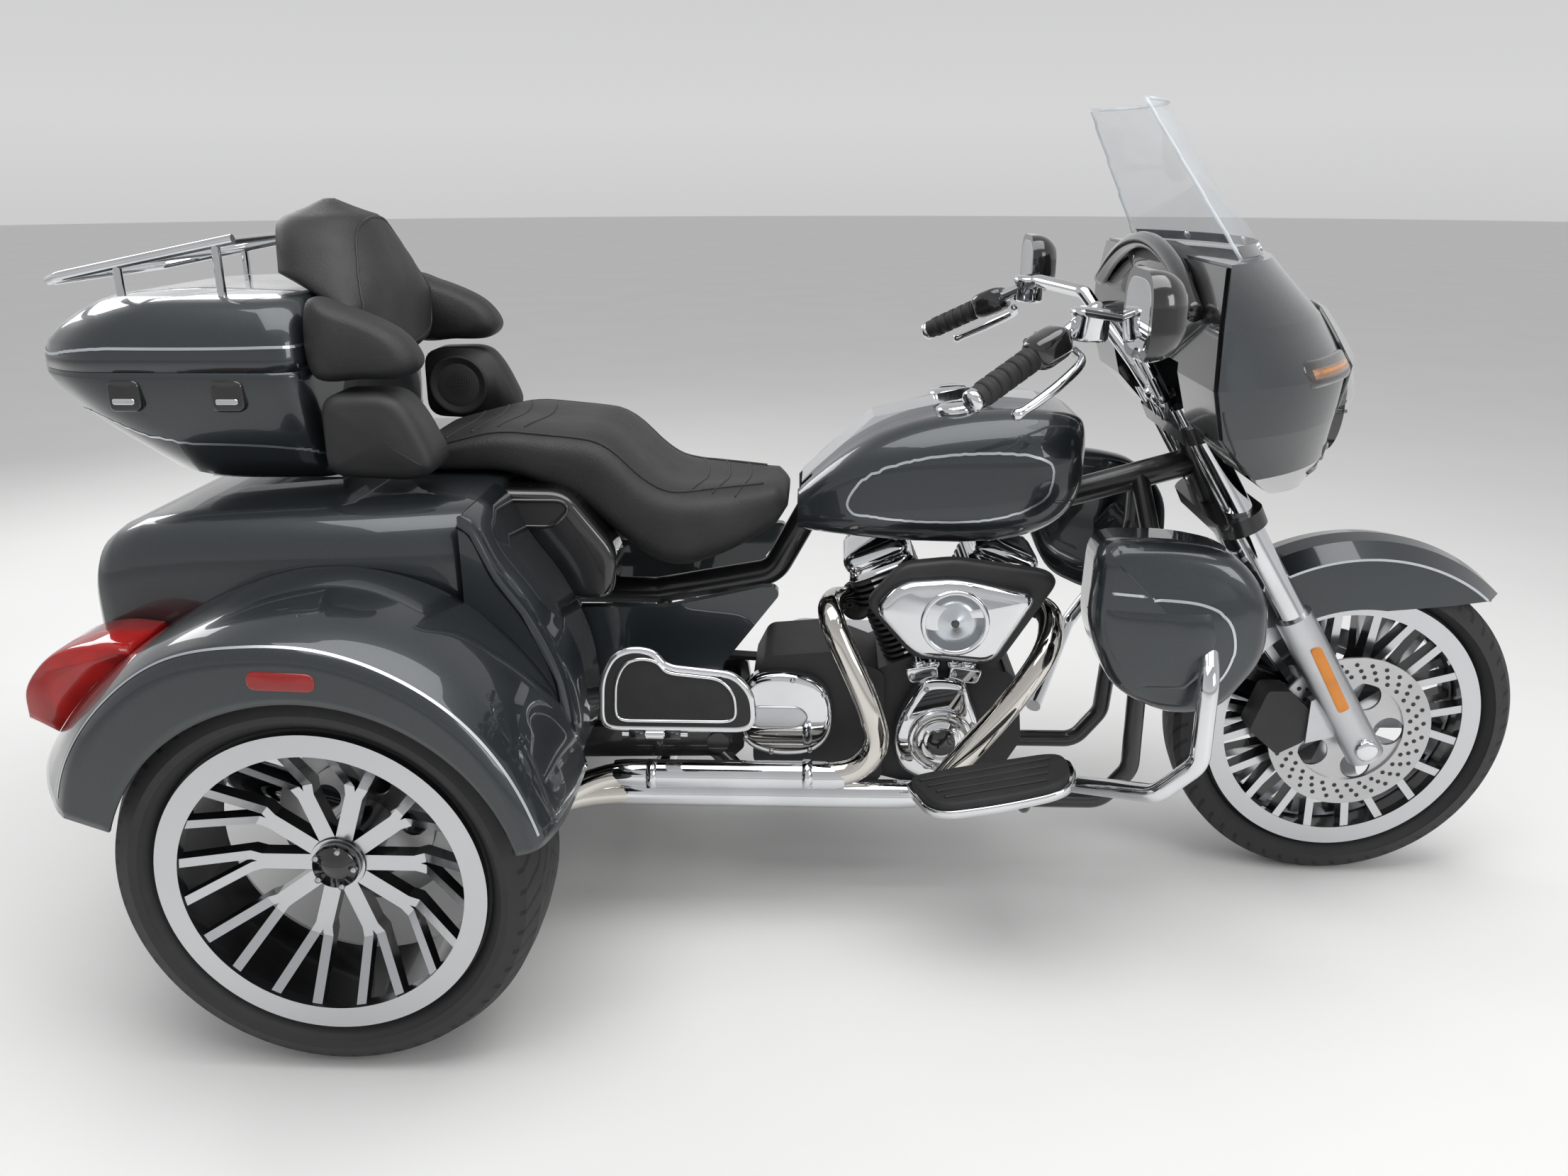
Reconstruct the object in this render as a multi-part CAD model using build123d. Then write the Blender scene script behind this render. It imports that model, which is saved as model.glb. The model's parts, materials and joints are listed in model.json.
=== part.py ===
"""Motorized touring trike with a V-twin engine, in millimetres.

Stations run forward from the rear axle, y to the rider's left, z up from the ground.
save() moves the finished pieces so that the origin is under the middle of the length.
"""
from build123d import *
from math import atan2, cos, degrees, hypot, pi, radians, sin, tan
import os

# Running gear
WHEELBASE = 1725
REAR_TRACK = 1142
REAR_TYRE_R, REAR_TYRE_W = 322, 215
FRONT_TYRE_R, FRONT_TYRE_W = 318, 130
REAR_FLANGE_R, REAR_RIM_W = 246.5, 196
FRONT_FLANGE_R, FRONT_RIM_W = 256, 100
STEMS = 10
AXLE_R = 12.5
STUB_R = 25
# Steering
RAKE, FORK_ANGLE = 26.0, 31.5
CROSSING_Z = 791
LEG_SPACING = 250
# Body
OVERALL_W = 1394
REAR_OVERHANG = 561
# Engine
ENGINE_BACK = 776
CRANK_Z = 365
V_HALF_ANGLE = 22.5
# Clearances
FIT = 0.05
GAP = 0.3

HALF_SPAN = (WHEELBASE + FRONT_TYRE_R - REAR_OVERHANG) / 2
ENGINE_X = WHEELBASE - ENGINE_BACK
FORK_X = WHEELBASE - (CROSSING_Z - FRONT_TYRE_R) * tan(radians(FORK_ANGLE))
STEER = Plane(
    origin=(FORK_X, 0, CROSSING_Z),
    x_dir=(cos(radians(RAKE)), 0, sin(radians(RAKE))),
    z_dir=(-sin(radians(RAKE)), 0, cos(radians(RAKE))),
)
FORK = Plane(
    origin=(WHEELBASE, 0, FRONT_TYRE_R),
    x_dir=(cos(radians(FORK_ANGLE)), 0, sin(radians(FORK_ANGLE))),
    z_dir=(-sin(radians(FORK_ANGLE)), 0, cos(radians(FORK_ANGLE))),
)
WHEEL_Y = REAR_TRACK / 2
SIDES = (-1, 1)


def save(name, *solids):
    """Writes one node; its solids are pieces of one body that don't touch."""
    moved = [Pos(-HALF_SPAN, 0, 0) * solid for solid in solids]
    export_step(moved[0] if len(moved) == 1 else Compound(moved), f"parts/{name}.step")


def side_slab(points, y_from, y_to, corner=0):
    """A plate with its outline (x, z) in side view, from y_from to y_to."""
    if corner:
        outline = make_face(FilletPolyline(*points, radius=corner, close=True))
    else:
        outline = make_face(Polyline(*points, close=True))
    return Pos(0, y_to, 0) * extrude(Plane.XZ * outline, amount=y_to - y_from)


def turned(points):
    """A body of revolution about y, its outline in (radius, y)."""
    return revolve(make_face(Polyline(*points, close=True)), Axis.Y)


def rod(start, end, radius):
    """A round bar between two points."""
    line = Vector(*end) - Vector(*start)
    return Plane(origin=start, z_dir=line) * Cylinder(
        radius, line.length, align=(Align.CENTER, Align.CENTER, Align.MIN))


def tube(points, radius, bend):
    """A round bar bent along the points, with arcs of radius bend at the corners."""
    path = FilletPolyline(*points, radius=bend)
    return sweep(Plane(origin=path @ 0, z_dir=path % 0) * Circle(radius), path=path)


def box(x0, x1, y0, y1, z0, z1):
    """A block between two corners."""
    return Pos((x0 + x1) / 2, (y0 + y1) / 2, (z0 + z1) / 2) * Box(x1 - x0, y1 - y0, z1 - z0)


def cross_section(x, half_width, z0, z1, corner):
    """A rounded rectangle across the vehicle at station x."""
    return Plane(origin=(x, 0, (z0 + z1) / 2), x_dir=(0, 1, 0), z_dir=(1, 0, 0)) * RectangleRounded(
        2 * half_width, z1 - z0, corner)


def level_section(z, x0, x1, half_width, corner):
    """A rounded rectangle at height z, from x0 to x1."""
    return Pos((x0 + x1) / 2, 0, z) * RectangleRounded(x1 - x0, 2 * half_width, corner)


def both_sides(solid):
    """A piece and its mirror image across the middle plane."""
    return [solid, mirror(solid, Plane.XZ)]


def on_side(solid, side):
    """A piece made for the left, mirrored when the side is the right one."""
    return solid if side > 0 else mirror(solid, Plane.XZ)


def hollowed(outer, inner):
    return outer - inner


# Wheels

def tyre(radius, width, flange_r, rim_w):
    """A closed ring: crowned tread, round shoulders, sidewalls down to the bead seat."""
    seat = flange_r - 12
    half, bead = width / 2, rim_w / 2 - 14
    crown = radius - 0.045 * width
    return turned([
        (seat, -bead), (flange_r + 4, -bead), (flange_r + 22, -half + 3), (radius - 42, -half),
        (crown - 8, -half + 12), (radius - 3, -half * 0.6), (radius, -half * 0.2),
        (radius, half * 0.2), (radius - 3, half * 0.6), (crown - 8, half - 12),
        (radius - 42, half), (flange_r + 22, half - 3), (flange_r + 4, bead), (seat, bead),
    ])


def spoke_plan(hub_r, fork_r, ring_r, stem_w, arm_w):
    """Stems that part into two arms each, drawn in the wheel's plane."""
    step = 360 / STEMS
    plan = Sketch() + Circle(hub_r)
    for stem in range(STEMS):
        turn = Rot(0, 0, stem * step)
        plan += turn * Pos((fork_r + hub_r - 10) / 2, 0) * Rectangle(fork_r - hub_r + 10, stem_w)
        for way in SIDES:
            angle = radians(way * step / 4)
            tip = (ring_r * cos(angle), ring_r * sin(angle))
            root = (fork_r - 6, way * stem_w * 0.22)
            length = hypot(tip[0] - root[0], tip[1] - root[1])
            lean = degrees(atan2(tip[1] - root[1], tip[0] - root[0]))
            middle = ((tip[0] + root[0]) / 2, (tip[1] + root[1]) / 2)
            plan += turn * Pos(*middle) * Rot(0, 0, lean) * Rectangle(length, arm_w)
    return plan


def rim(flange_r, rim_w, dish, hub_r, bore_r, hub_in, stem_t):
    """Barrel with flanges, dished spokes and hub; the face looks toward -y."""
    half = rim_w / 2
    well = flange_r - 22
    barrel = turned([
        (flange_r - 34, -half), (flange_r, -half), (flange_r, -half + 12), (flange_r - 13, -half + 14),
        (flange_r - 13, half - 14), (flange_r, half - 12), (flange_r, half), (flange_r - 8, half),
        (well, half - 22), (well, -half + 30), (flange_r - 34, -half + 20),
    ])
    web = turned([
        (0, -half + dish), (135, -half + dish), (flange_r - 28, -half + 2),
        (flange_r - 28, -half + 2 + stem_t * 0.8), (135, -half + dish + stem_t), (0, -half + dish + stem_t),
    ])
    plan = spoke_plan(hub_r, 125, flange_r - 26, 26, 15)
    spokes = Pos(0, half, 0) * extrude(Plane.XZ * plan, amount=rim_w) & web
    hub = turned([
        (0, -half + dish - 4), (hub_r, -half + dish - 4), (hub_r + 8, -half + dish + stem_t),
        (hub_r, hub_in), (0, hub_in),
    ])
    bore = Rot(90, 0, 0) * Cylinder(bore_r, 2 * rim_w + 200)
    return barrel + spokes + hub - bore


def disc(radius, inner_r, y0, thickness, hub_r, bore_r, carrier_t):
    """Brake disc on its carrier, with the carrier on the inboard side of y0."""
    ring = turned([(inner_r, y0), (radius, y0), (radius, y0 + thickness), (inner_r, y0 + thickness)])
    plate = turned([
        (bore_r, y0 - carrier_t), (inner_r + 14, y0 - carrier_t), (inner_r + 14, y0), (bore_r, y0)])
    for window in range(5):
        plate -= Rot(0, window * 72, 0) * Pos((hub_r + inner_r) / 2 + 4, y0, 0) * Rot(90, 0, 0) * Cylinder(
            (inner_r - hub_r) / 2 - 2, 4 * carrier_t)
    return ring + plate


REAR_DISC_R = 146
REAR_HUB_IN = WHEEL_Y - 478


def rear_wheels():
    for side, name in ((-1, "right"), (1, "left")):
        place = Pos(0, -WHEEL_Y, REAR_TYRE_R)
        wheel = rim(REAR_FLANGE_R, REAR_RIM_W, 70, 42, STUB_R + FIT, REAR_HUB_IN, 26)
        rubber = tyre(REAR_TYRE_R, REAR_TYRE_W, REAR_FLANGE_R, REAR_RIM_W)
        rotor = disc(REAR_DISC_R, 96, REAR_HUB_IN + 8, 8, 46, STUB_R + FIT, 8)
        save(f"rear_tyre_{name}", on_side(mirror(place * rubber, Plane.XZ), side))
        save(f"rear_rim_{name}", on_side(mirror(place * wheel, Plane.XZ), side))
        save(f"rear_disc_{name}", on_side(mirror(place * rotor, Plane.XZ), side))


FRONT_DISC_R = 150
FRONT_HUB_Y = 72


def front_wheel():
    place = Pos(WHEELBASE, 0, FRONT_TYRE_R)
    save("front_tyre", place * tyre(FRONT_TYRE_R, FRONT_TYRE_W, FRONT_FLANGE_R, FRONT_RIM_W))
    half_wheel = rim(FRONT_FLANGE_R, FRONT_RIM_W, 16, 36, AXLE_R + FIT, 0, FRONT_RIM_W / 2 - 16)
    hub = turned([(0, -FRONT_HUB_Y), (34, -FRONT_HUB_Y), (34, FRONT_HUB_Y), (0, FRONT_HUB_Y)])
    hub -= Rot(90, 0, 0) * Cylinder(AXLE_R + FIT, 300)
    save("front_rim", place * (half_wheel + mirror(half_wheel, Plane.XZ) + hub))
    rotor = disc(FRONT_DISC_R, 100, FRONT_HUB_Y + 6, 5, 40, AXLE_R + FIT, 6)
    save("front_discs", *[place * piece for piece in both_sides(rotor)])


# Steering body

SLIDER_R, FORK_TUBE_R = 33, 24.5
SLIDER_TOP, TUBE_TOP = 290, 735
LEG_Y = LEG_SPACING / 2
HEAD_LOW, HEAD_HIGH = -42, 112
HEAD_R, STEM_R = 32, 17.5
CLAMP_T = 30


def clamp(z0):
    """One fork clamp round the stem and both legs, in the steering plane."""
    bosses = Circle(36) + Pos(0, -LEG_Y) * Circle(42) + Pos(0, LEG_Y) * Circle(42)
    plate = STEER * Pos(0, 0, z0) * extrude(make_hull(bosses.edges()), amount=CLAMP_T)
    for y in (-LEG_Y, LEG_Y):
        plate -= FORK * Pos(0, y, TUBE_TOP / 2) * Cylinder(FORK_TUBE_R + GAP, 2 * TUBE_TOP)
    return plate


def fork():
    stem = STEER * Pos(0, 0, (HEAD_LOW + HEAD_HIGH) / 2) * Cylinder(STEM_R, HEAD_HIGH - HEAD_LOW + 20)
    save("fork_clamps", clamp(HEAD_LOW - CLAMP_T) + clamp(HEAD_HIGH) + stem)
    tubes = []
    for y in (-LEG_Y, LEG_Y):
        tubes.append(FORK * Pos(0, y, (SLIDER_TOP + TUBE_TOP) / 2) * Cylinder(FORK_TUBE_R, TUBE_TOP - SLIDER_TOP))
    save("fork_tubes", *tubes)
    sliders = Pos(WHEELBASE, 0, FRONT_TYRE_R) * Rot(90, 0, 0) * Cylinder(AXLE_R, 2 * LEG_Y + 60)
    for y in (-LEG_Y, LEG_Y):
        sliders += FORK * Pos(0, y, SLIDER_TOP / 2 - 15) * Cylinder(SLIDER_R, SLIDER_TOP + 30)
    for side in SIDES:
        sliders += on_side(side_slab([
            (WHEELBASE - 20, 330), (WHEELBASE - 93, 310), (WHEELBASE - 93, 395), (WHEELBASE - 45, 420)],
            LEG_Y - 28, LEG_Y - 8), side)
    sliders -= Pos(WHEELBASE, 0, FRONT_TYRE_R) * Rot(90, 0, 0) * Cylinder(8, 400)
    save("fork_sliders", sliders)


FRONT_DISC_Y = FRONT_HUB_Y + 8.5


def front_calipers():
    body = side_slab([
        (WHEELBASE - 196, 332), (WHEELBASE - 141, 283), (WHEELBASE - 93 - GAP, 310),
        (WHEELBASE - 93 - GAP, 377), (WHEELBASE - 130, 411), (WHEELBASE - 170, 411)],
        FRONT_DISC_Y - 26, FRONT_DISC_Y + 30, 10)
    slot = Pos(WHEELBASE, FRONT_DISC_Y, FRONT_TYRE_R) * Rot(90, 0, 0) * Cylinder(FRONT_DISC_R + 4, 8)
    slot += Pos(WHEELBASE, FRONT_DISC_Y - 20, FRONT_TYRE_R) * Rot(90, 0, 0) * Cylinder(118, 40)
    save("front_calipers", *both_sides(body - slot))


FENDER_R, FENDER_HALF_W = 362, 82


def front_fender():
    """A crowned arc over the tyre with side skirts, carried by stays on the fork legs."""
    wall = 3
    crown, shoulder, skirt = FENDER_R, FENDER_R - 22, FENDER_R - 118
    ring = turned([
        (skirt, -FENDER_HALF_W), (shoulder, -FENDER_HALF_W + 4), (crown, -FENDER_HALF_W * 0.45),
        (crown + 6, 0), (crown, FENDER_HALF_W * 0.45), (shoulder, FENDER_HALF_W - 4),
        (skirt, FENDER_HALF_W), (skirt, FENDER_HALF_W - wall), (shoulder, FENDER_HALF_W - 4 - wall),
        (crown - wall, FENDER_HALF_W * 0.45), (crown + 6 - wall, 0), (crown - wall, -FENDER_HALF_W * 0.45),
        (shoulder, -FENDER_HALF_W + 4 + wall), (skirt, -FENDER_HALF_W + wall),
    ])
    keep = side_slab([
        (-460, 60), (-330, 60), (-250, 190), (-40, 235), (150, 252), (222, 262), (330, 262), (330, 460),
        (-460, 460)], -120, 120)
    save("front_fender", Pos(WHEELBASE, 0, FRONT_TYRE_R) * (ring & keep))


def handlebar():
    points = [(954, -420, 1002), (1060, -345, 1062), (1150, -270, 1115), (1215, -150, 1105),
              (1300, -60, 985), (1332, -40, 935)]
    half = [(WHEELBASE - 1725 + x, y, z) for x, y, z in points]
    bar = tube(half + [(x, -y, z) for x, y, z in reversed(half)], 12.7, 25)
    save("handlebar", bar)


# Chassis

def steer_point(height):
    """A point on the steering axis, by its height in the steering plane."""
    return tuple(STEER.from_local_coords(Vector(0, 0, height)))


RAIL_Y, RAIL_R, CROSS_R = 130, 17, 14
LOW_RAIL_Z = 195
REAR_RAIL_Y, REAR_RAIL_Z, REAR_RAIL_R = 230, 425, 15
BACKBONE_R, BACKBONE_Z = 25, 745
PIVOT_X, PIVOT_Z, PIVOT_R = 545, 330, 20


def frame():
    head = STEER * Pos(0, 0, (HEAD_LOW + HEAD_HIGH) / 2) * Cylinder(HEAD_R, HEAD_HIGH - HEAD_LOW - 2 * GAP)
    neck = steer_point((HEAD_LOW + HEAD_HIGH) / 2)
    body = head
    body += tube([neck, (ENGINE_X + 240, 0, BACKBONE_Z + 12), (ENGINE_X - 229, 0, BACKBONE_Z),
                  (ENGINE_X - 309, 0, 600), (420, 0, 560), (TRUNK_FRONT + GAP, 0, 560)], BACKBONE_R, 50)
    for side in SIDES:
        rail = tube([
            (ENGINE_X + 359, side * 6, 795), (ENGINE_X + 376, side * 70, 690), (ENGINE_X + 361, side * RAIL_Y, 260),
            (ENGINE_X + 311, side * RAIL_Y, LOW_RAIL_Z), (620, side * RAIL_Y, LOW_RAIL_Z),
            (500, side * RAIL_Y, PIVOT_Z), (430, side * RAIL_Y, REAR_RAIL_Z),
            (300, side * REAR_RAIL_Y, REAR_RAIL_Z), (-330, side * REAR_RAIL_Y, REAR_RAIL_Z)], RAIL_R, 45)
        body += rail
        body += side_slab([(490, 290), (560, 270), (590, 300), (580, 370), (490, 370)],
                          side * RAIL_Y - 12, side * RAIL_Y + 12, 12)
    cross_z = LOW_RAIL_Z + RAIL_R - CROSS_R
    for x in (ENGINE_X + 100, ENGINE_X - 230):
        body += rod((x, -RAIL_Y, cross_z), (x, RAIL_Y, cross_z), CROSS_R)
    body += rod((-300, -REAR_RAIL_Y, REAR_RAIL_Z), (-300, REAR_RAIL_Y, REAR_RAIL_Z), REAR_RAIL_R)
    body += rod((430, -RAIL_Y, REAR_RAIL_Z), (430, RAIL_Y, REAR_RAIL_Z), REAR_RAIL_R)
    body += rod((430, 0, REAR_RAIL_Z), (430, 0, 560), REAR_RAIL_R)
    for x in (ENGINE_X - 160, ENGINE_X + 150):
        body += box(x - 20, x + 20, -22, 22, BACKBONE_Z, TUNNEL_Z - GAP)
    body -= STEER * Pos(0, 0, 30) * Cylinder(STEM_R + FIT, 400)
    for side in SIDES:
        body -= rod((PIVOT_X, side * 200, PIVOT_Z), (PIVOT_X, side * 90, PIVOT_Z), PIVOT_R + GAP)
    save("frame", body)


HOUSING_R = 38
CALIPER_Y = WHEEL_Y - REAR_HUB_IN


def rear_axle():
    arms_y = 170
    body = rod((0, -CALIPER_Y + 14, REAR_TYRE_R), (0, CALIPER_Y - 14, REAR_TYRE_R), HOUSING_R)
    body += rod((0, -WHEEL_Y - 20, REAR_TYRE_R), (0, WHEEL_Y + 20, REAR_TYRE_R), STUB_R)
    body += rod((PIVOT_X, -190, PIVOT_Z), (PIVOT_X, 190, PIVOT_Z), PIVOT_R)
    for side in SIDES:
        body += side_slab([(0, 290), (PIVOT_X, 302), (PIVOT_X + 25, 330), (PIVOT_X, 358), (0, 356)],
                          side * arms_y - 14, side * arms_y + 14)
    save("rear_axle", body)


BELT_Y0, BELT_W = 75, 30


def drive_belt():
    pulley_r, front_r = 108, 50
    front_x, front_z = ENGINE_X - 299, 340
    wheel = Circle(pulley_r) + Pos(front_x, front_z - REAR_TYRE_R) * Circle(front_r)
    loop = make_hull(wheel.edges())
    loop = Plane.XZ * loop
    body = Pos(0, BELT_Y0 + BELT_W, REAR_TYRE_R) * extrude(loop, amount=BELT_W)
    inner = Circle(pulley_r - 8) + Pos(front_x, front_z - REAR_TYRE_R) * Circle(front_r - 8)
    hole = Pos(0, BELT_Y0 + BELT_W, REAR_TYRE_R) * extrude(Plane.XZ * make_hull(inner.edges()), amount=BELT_W)
    body -= hole
    body += rod((0, BELT_Y0, REAR_TYRE_R), (0, BELT_Y0 + BELT_W, REAR_TYRE_R), pulley_r - 4)
    body += rod((front_x, BELT_Y0, front_z), (front_x, BELT_Y0 + BELT_W, front_z), front_r - 4)
    body -= rod((0, 0, REAR_TYRE_R), (0, 200, REAR_TYRE_R), HOUSING_R + GAP)
    save("drive_belt", body)


# Engine

CASE_Y = 100


def engine():
    x = ENGINE_X
    crankcase = side_slab([
        (x - 130, 230), (x - 60, 212 + GAP), (x + 110, 212 + GAP), (x + 160, 300), (x + 150, 420),
        (x + 95, 470), (x - 95, 470), (x - 130, 430)], -CASE_Y, CASE_Y, 25)
    gearbox = side_slab([
        (x - 345, 250), (x - 260, 212 + GAP), (x - 100, 212 + GAP), (x - 100, 440), (x - 200, 480),
        (x - 320, 470), (x - 345, 420)], -110, 70, 25)
    for way in SIDES:
        deck = cylinder_plane(way)
        crankcase -= deck * Pos(0, 0, BARREL_FOOT + 100) * Box(170, 300, 200)
    save("engine_cases", crankcase + gearbox)


def cylinder_plane(way):
    """The plane of one cylinder, its z along the bore; way -1 is the rear one."""
    lean = radians(V_HALF_ANGLE) * way
    return Plane(origin=(ENGINE_X, 0, CRANK_Z), x_dir=(cos(lean), 0, -sin(lean)), z_dir=(sin(lean), 0, cos(lean)))


BARREL_FOOT, HEAD_TOP, COVER_TOP = 115, 280, 330
FINS, FIN_T = 14, 5
FIN_PITCH = (HEAD_TOP - BARREL_FOOT) / FINS


def cylinders():
    solids, covers = [], []
    for way in SIDES:
        plane = cylinder_plane(way)
        stack = Pos(0, 0, BARREL_FOOT) * extrude(RectangleRounded(100, 130, 40), amount=HEAD_TOP - BARREL_FOOT)
        for fin in range(FINS):
            width = 118 if fin < 9 else 128
            stack += Pos(0, 0, BARREL_FOOT + (fin + 0.5) * FIN_PITCH) * extrude(
                RectangleRounded(width, 185, 35), amount=FIN_T)
        solids.append(plane * stack)
        covers.append(plane * Pos(0, 0, HEAD_TOP) * extrude(
            RectangleRounded(126, 170, 30), amount=COVER_TOP - HEAD_TOP))
    save("cylinders", *solids)
    save("rocker_covers", *covers)


def engine_covers():
    x = ENGINE_X
    cam = side_slab([(x - 88, 300), (x - 40, 262), (x + 50, 262), (x + 70, 340), (x + 40, 440), (x - 50, 440)],
                    -150, -CASE_Y, 25)
    save("cam_cover", cam)
    gear = side_slab([(x - 345, 300), (x - 250, 270), (x - 200, 300), (x - 190, 400), (x - 250, 440), (x - 340, 440)],
                     -150, -110, 22)
    save("gearbox_cover", gear)
    primary = side_slab([(x - 320, 262), (x - 200, 245), (x + 90, 262), (x + 130, 340), (x + 80, 430),
                         (x - 280, 440), (x - 335, 350)], BELT_Y0 + BELT_W + 1, 180, 50)
    primary -= box(x - 400, x - 131, 0, BELT_Y0 + BELT_W + 1, 0, 600)
    primary += side_slab([(x - 60, 290), (x + 90, 290), (x + 90, 400), (x - 60, 400)], CASE_Y, BELT_Y0 + BELT_W + 1, 20)
    save("primary_cover", primary)
    surround = side_slab([(x - 143, 611), (x - 62, 694), (x + 43, 694), (x + 186, 668), (x + 78, 499),
                          (x - 62, 511)], -215, -195, 25)
    for foot in (-95, 95):
        surround += rod((x + foot, -195, 590), (x + foot, -92.5, 590), 10)
    cover = side_slab([(x - 129, 611), (x - 77, 664), (x + 7, 669), (x + 149, 640), (x + 64, 517), (x - 59, 531)],
                      -262, -215, 20)
    save("air_cleaner", cover)
    save("air_cleaner_base", surround)


MUFFLER_Y = 330


def exhaust():
    x = ENGINE_X
    rear = tube([(x - 230, -150, 640), (x - 205, -215, 590), (x - 123, -225, 431), (x - 140, -225, 300),
                 (x - 230, -225, 282), (332, -225, 275), (130, -MUFFLER_Y, 200)], 24, 40)
    save("exhaust_pipes", rear)
    mufflers = [rod((110, side * MUFFLER_Y, 195), (-450, side * MUFFLER_Y, 372), 42) for side in SIDES]
    save("mufflers", *mufflers)


# Body

TUNNEL_Z, TUNNEL_Y, CONSOLE_Y = 800, 60, 48


def fuel_tank():
    x = ENGINE_X
    sections = [
        # station, half width, low z, high z, corner
        (x - 262, 95, 706, 775, 30),
        (x - 130, 150, 697, 880, 60),
        (x + 60, 190, 697, 930, 85),
        (x + 190, 170, 730, 925, 75),
        (x + 240, 90, 790, 900, 40),
    ]
    body = loft([cross_section(*row) for row in sections])
    body -= box(x - 400, x + 400, -TUNNEL_Y, TUNNEL_Y, 600, TUNNEL_Z)
    foot = [(x - 300, 745), (x - 130, 855), (x + 60, 900), (x + 170, 905)]
    body -= side_slab(foot + [(x + 170, 1000), (x - 300, 1000)], -CONSOLE_Y - GAP, CONSOLE_Y + GAP)
    save("fuel_tank", body)
    top = [(x + 166, 937), (x + 60, 945), (x - 128, 905), (x - 255, 790)]
    foot = [(x - 255, 774.5), (x - 130, 855.3), (x + 60, 900.3), (x + 166, 905.3)]
    save("tank_console", side_slab(foot + top, -CONSOLE_Y, CONSOLE_Y))


def seat():
    x = ENGINE_X
    outline = [(6, 861), (171, 904), (362, 891), (429, 811), (474, 791), (641, 786), (x - 265, 790), (x - 300, 740),
               (x - 392, 664), (419, 733), (338, 801), (304, TRUNK_TOP + GAP), (20, TRUNK_TOP + GAP)]
    save("seat", side_slab(outline, -180, 180, 12))


def side_covers():
    shape = [(203, 682), (260, 655), (311, 601), (462, 602), (629, 640), (670, 640), (552, 487), (330, 487), (215, 560)]
    save("side_covers", *both_sides(side_slab(shape, 195, 215, 12)))


TRUNK_FLOOR_Z, TRUNK_HALF_W, TRUNK_WALL = REAR_RAIL_Z + RAIL_R + GAP, 440, 4
TRUNK_FRONT, TRUNK_REAR, TRUNK_TOP = 190, -412, 822
DOOR_Z0, DOOR_Z1, DOOR_HALF_W, DOOR_T = 500, 735, 330, 22


def trunk():
    w = TRUNK_WALL
    rows = [
        # station, half width, high z, corner
        (TRUNK_REAR, TRUNK_HALF_W - 10, 765, 50),
        (-330, TRUNK_HALF_W, 808, 60),
        (20, TRUNK_HALF_W, TRUNK_TOP, 60),
        (TRUNK_FRONT, TRUNK_HALF_W - 30, TRUNK_TOP, 60),
    ]
    outer = loft([cross_section(s, h, TRUNK_FLOOR_Z, z, c) for s, h, z, c in rows], ruled=True)
    inner = loft([cross_section(s, h - w, TRUNK_FLOOR_Z + w, z - w, c - w) for s, h, z, c in rows], ruled=True)
    inner &= box(TRUNK_REAR + w, TRUNK_FRONT - w, -500, 500, 400, 900)
    doorway = box(TRUNK_REAR - 50, TRUNK_REAR + 50, -DOOR_HALF_W + 14, DOOR_HALF_W - 14, DOOR_Z0 + 14, DOOR_Z1 - 14)
    body = outer - inner - doorway
    for y in (-200, 200):
        body += rod((TRUNK_REAR - 14, y - 15, DOOR_Z0 - 12), (TRUNK_REAR - 14, y + 15, DOOR_Z0 - 12), 9)
        body += box(TRUNK_REAR - 14, TRUNK_REAR, y - 15, y + 15, DOOR_Z0 - 21, DOOR_Z0 - 3)
        body += rod((TRUNK_REAR - 14, y - 40, DOOR_Z0 - 12), (TRUNK_REAR - 14, y + 40, DOOR_Z0 - 12), 4)
    save("trunk", body)
    door = box(TRUNK_REAR - DOOR_T, TRUNK_REAR - GAP, -DOOR_HALF_W, DOOR_HALF_W, DOOR_Z0, DOOR_Z1)
    for y in (-228, -172, 172, 228):
        door += rod((TRUNK_REAR - 14, y - 12, DOOR_Z0 - 12), (TRUNK_REAR - 14, y + 12, DOOR_Z0 - 12), 8)
        door += box(TRUNK_REAR - 22, TRUNK_REAR - 8, y - 12, y + 12, DOOR_Z0 - 12, DOOR_Z0 + 2)
    door -= rod((TRUNK_REAR - 14, -300, DOOR_Z0 - 12), (TRUNK_REAR - 14, 300, DOOR_Z0 - 12), 4 + FIT)
    save("trunk_door", door)


ARCH_R = 300
FENDER_WALL = 5


def fender_section(y, rear, front, top, inset):
    """The side view of a rear fender at one y."""
    points = [(rear + inset, 380), (rear + inset, 520), (-190, top - 60 - inset), (-60, top - inset),
              (150, top - inset), (front - inset, 620), (front - inset + 20, 330), (0, 330)]
    outline = FilletPolyline(*points, radius=40, close=True)
    return Pos(0, y, 0) * (Plane.XZ * make_face(outline))


def rear_fenders():
    half = OVERALL_W / 2
    rows = [
        # y, rear, front, top
        (TRUNK_HALF_W + 1, -415, 300, 816),
        (600, -400, 350, 792),
        (660, -372, 350, 745),
        (half, -318, 335, 672),
    ]
    outer = loft([fender_section(y, r, f, t, 0) for y, r, f, t in rows], ruled=True)
    inner = loft([fender_section(y, r, f, t, FENDER_WALL) for y, r, f, t in rows], ruled=True)
    inner &= box(-600, 600, TRUNK_HALF_W + 1 + FENDER_WALL, half - FENDER_WALL, 300, 900)
    body = outer - inner
    body -= rod((0, TRUNK_HALF_W - 20, REAR_TYRE_R), (0, half - FENDER_WALL, REAR_TYRE_R), REAR_TYRE_R + 20)
    body -= rod((0, half - FENDER_WALL - 1, REAR_TYRE_R), (0, half + 20, REAR_TYRE_R), ARCH_R)
    body -= box(-600, 600, TRUNK_HALF_W - 10, half + 10, 200, 400)
    save("rear_fenders", *both_sides(body))


# Luggage

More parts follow.
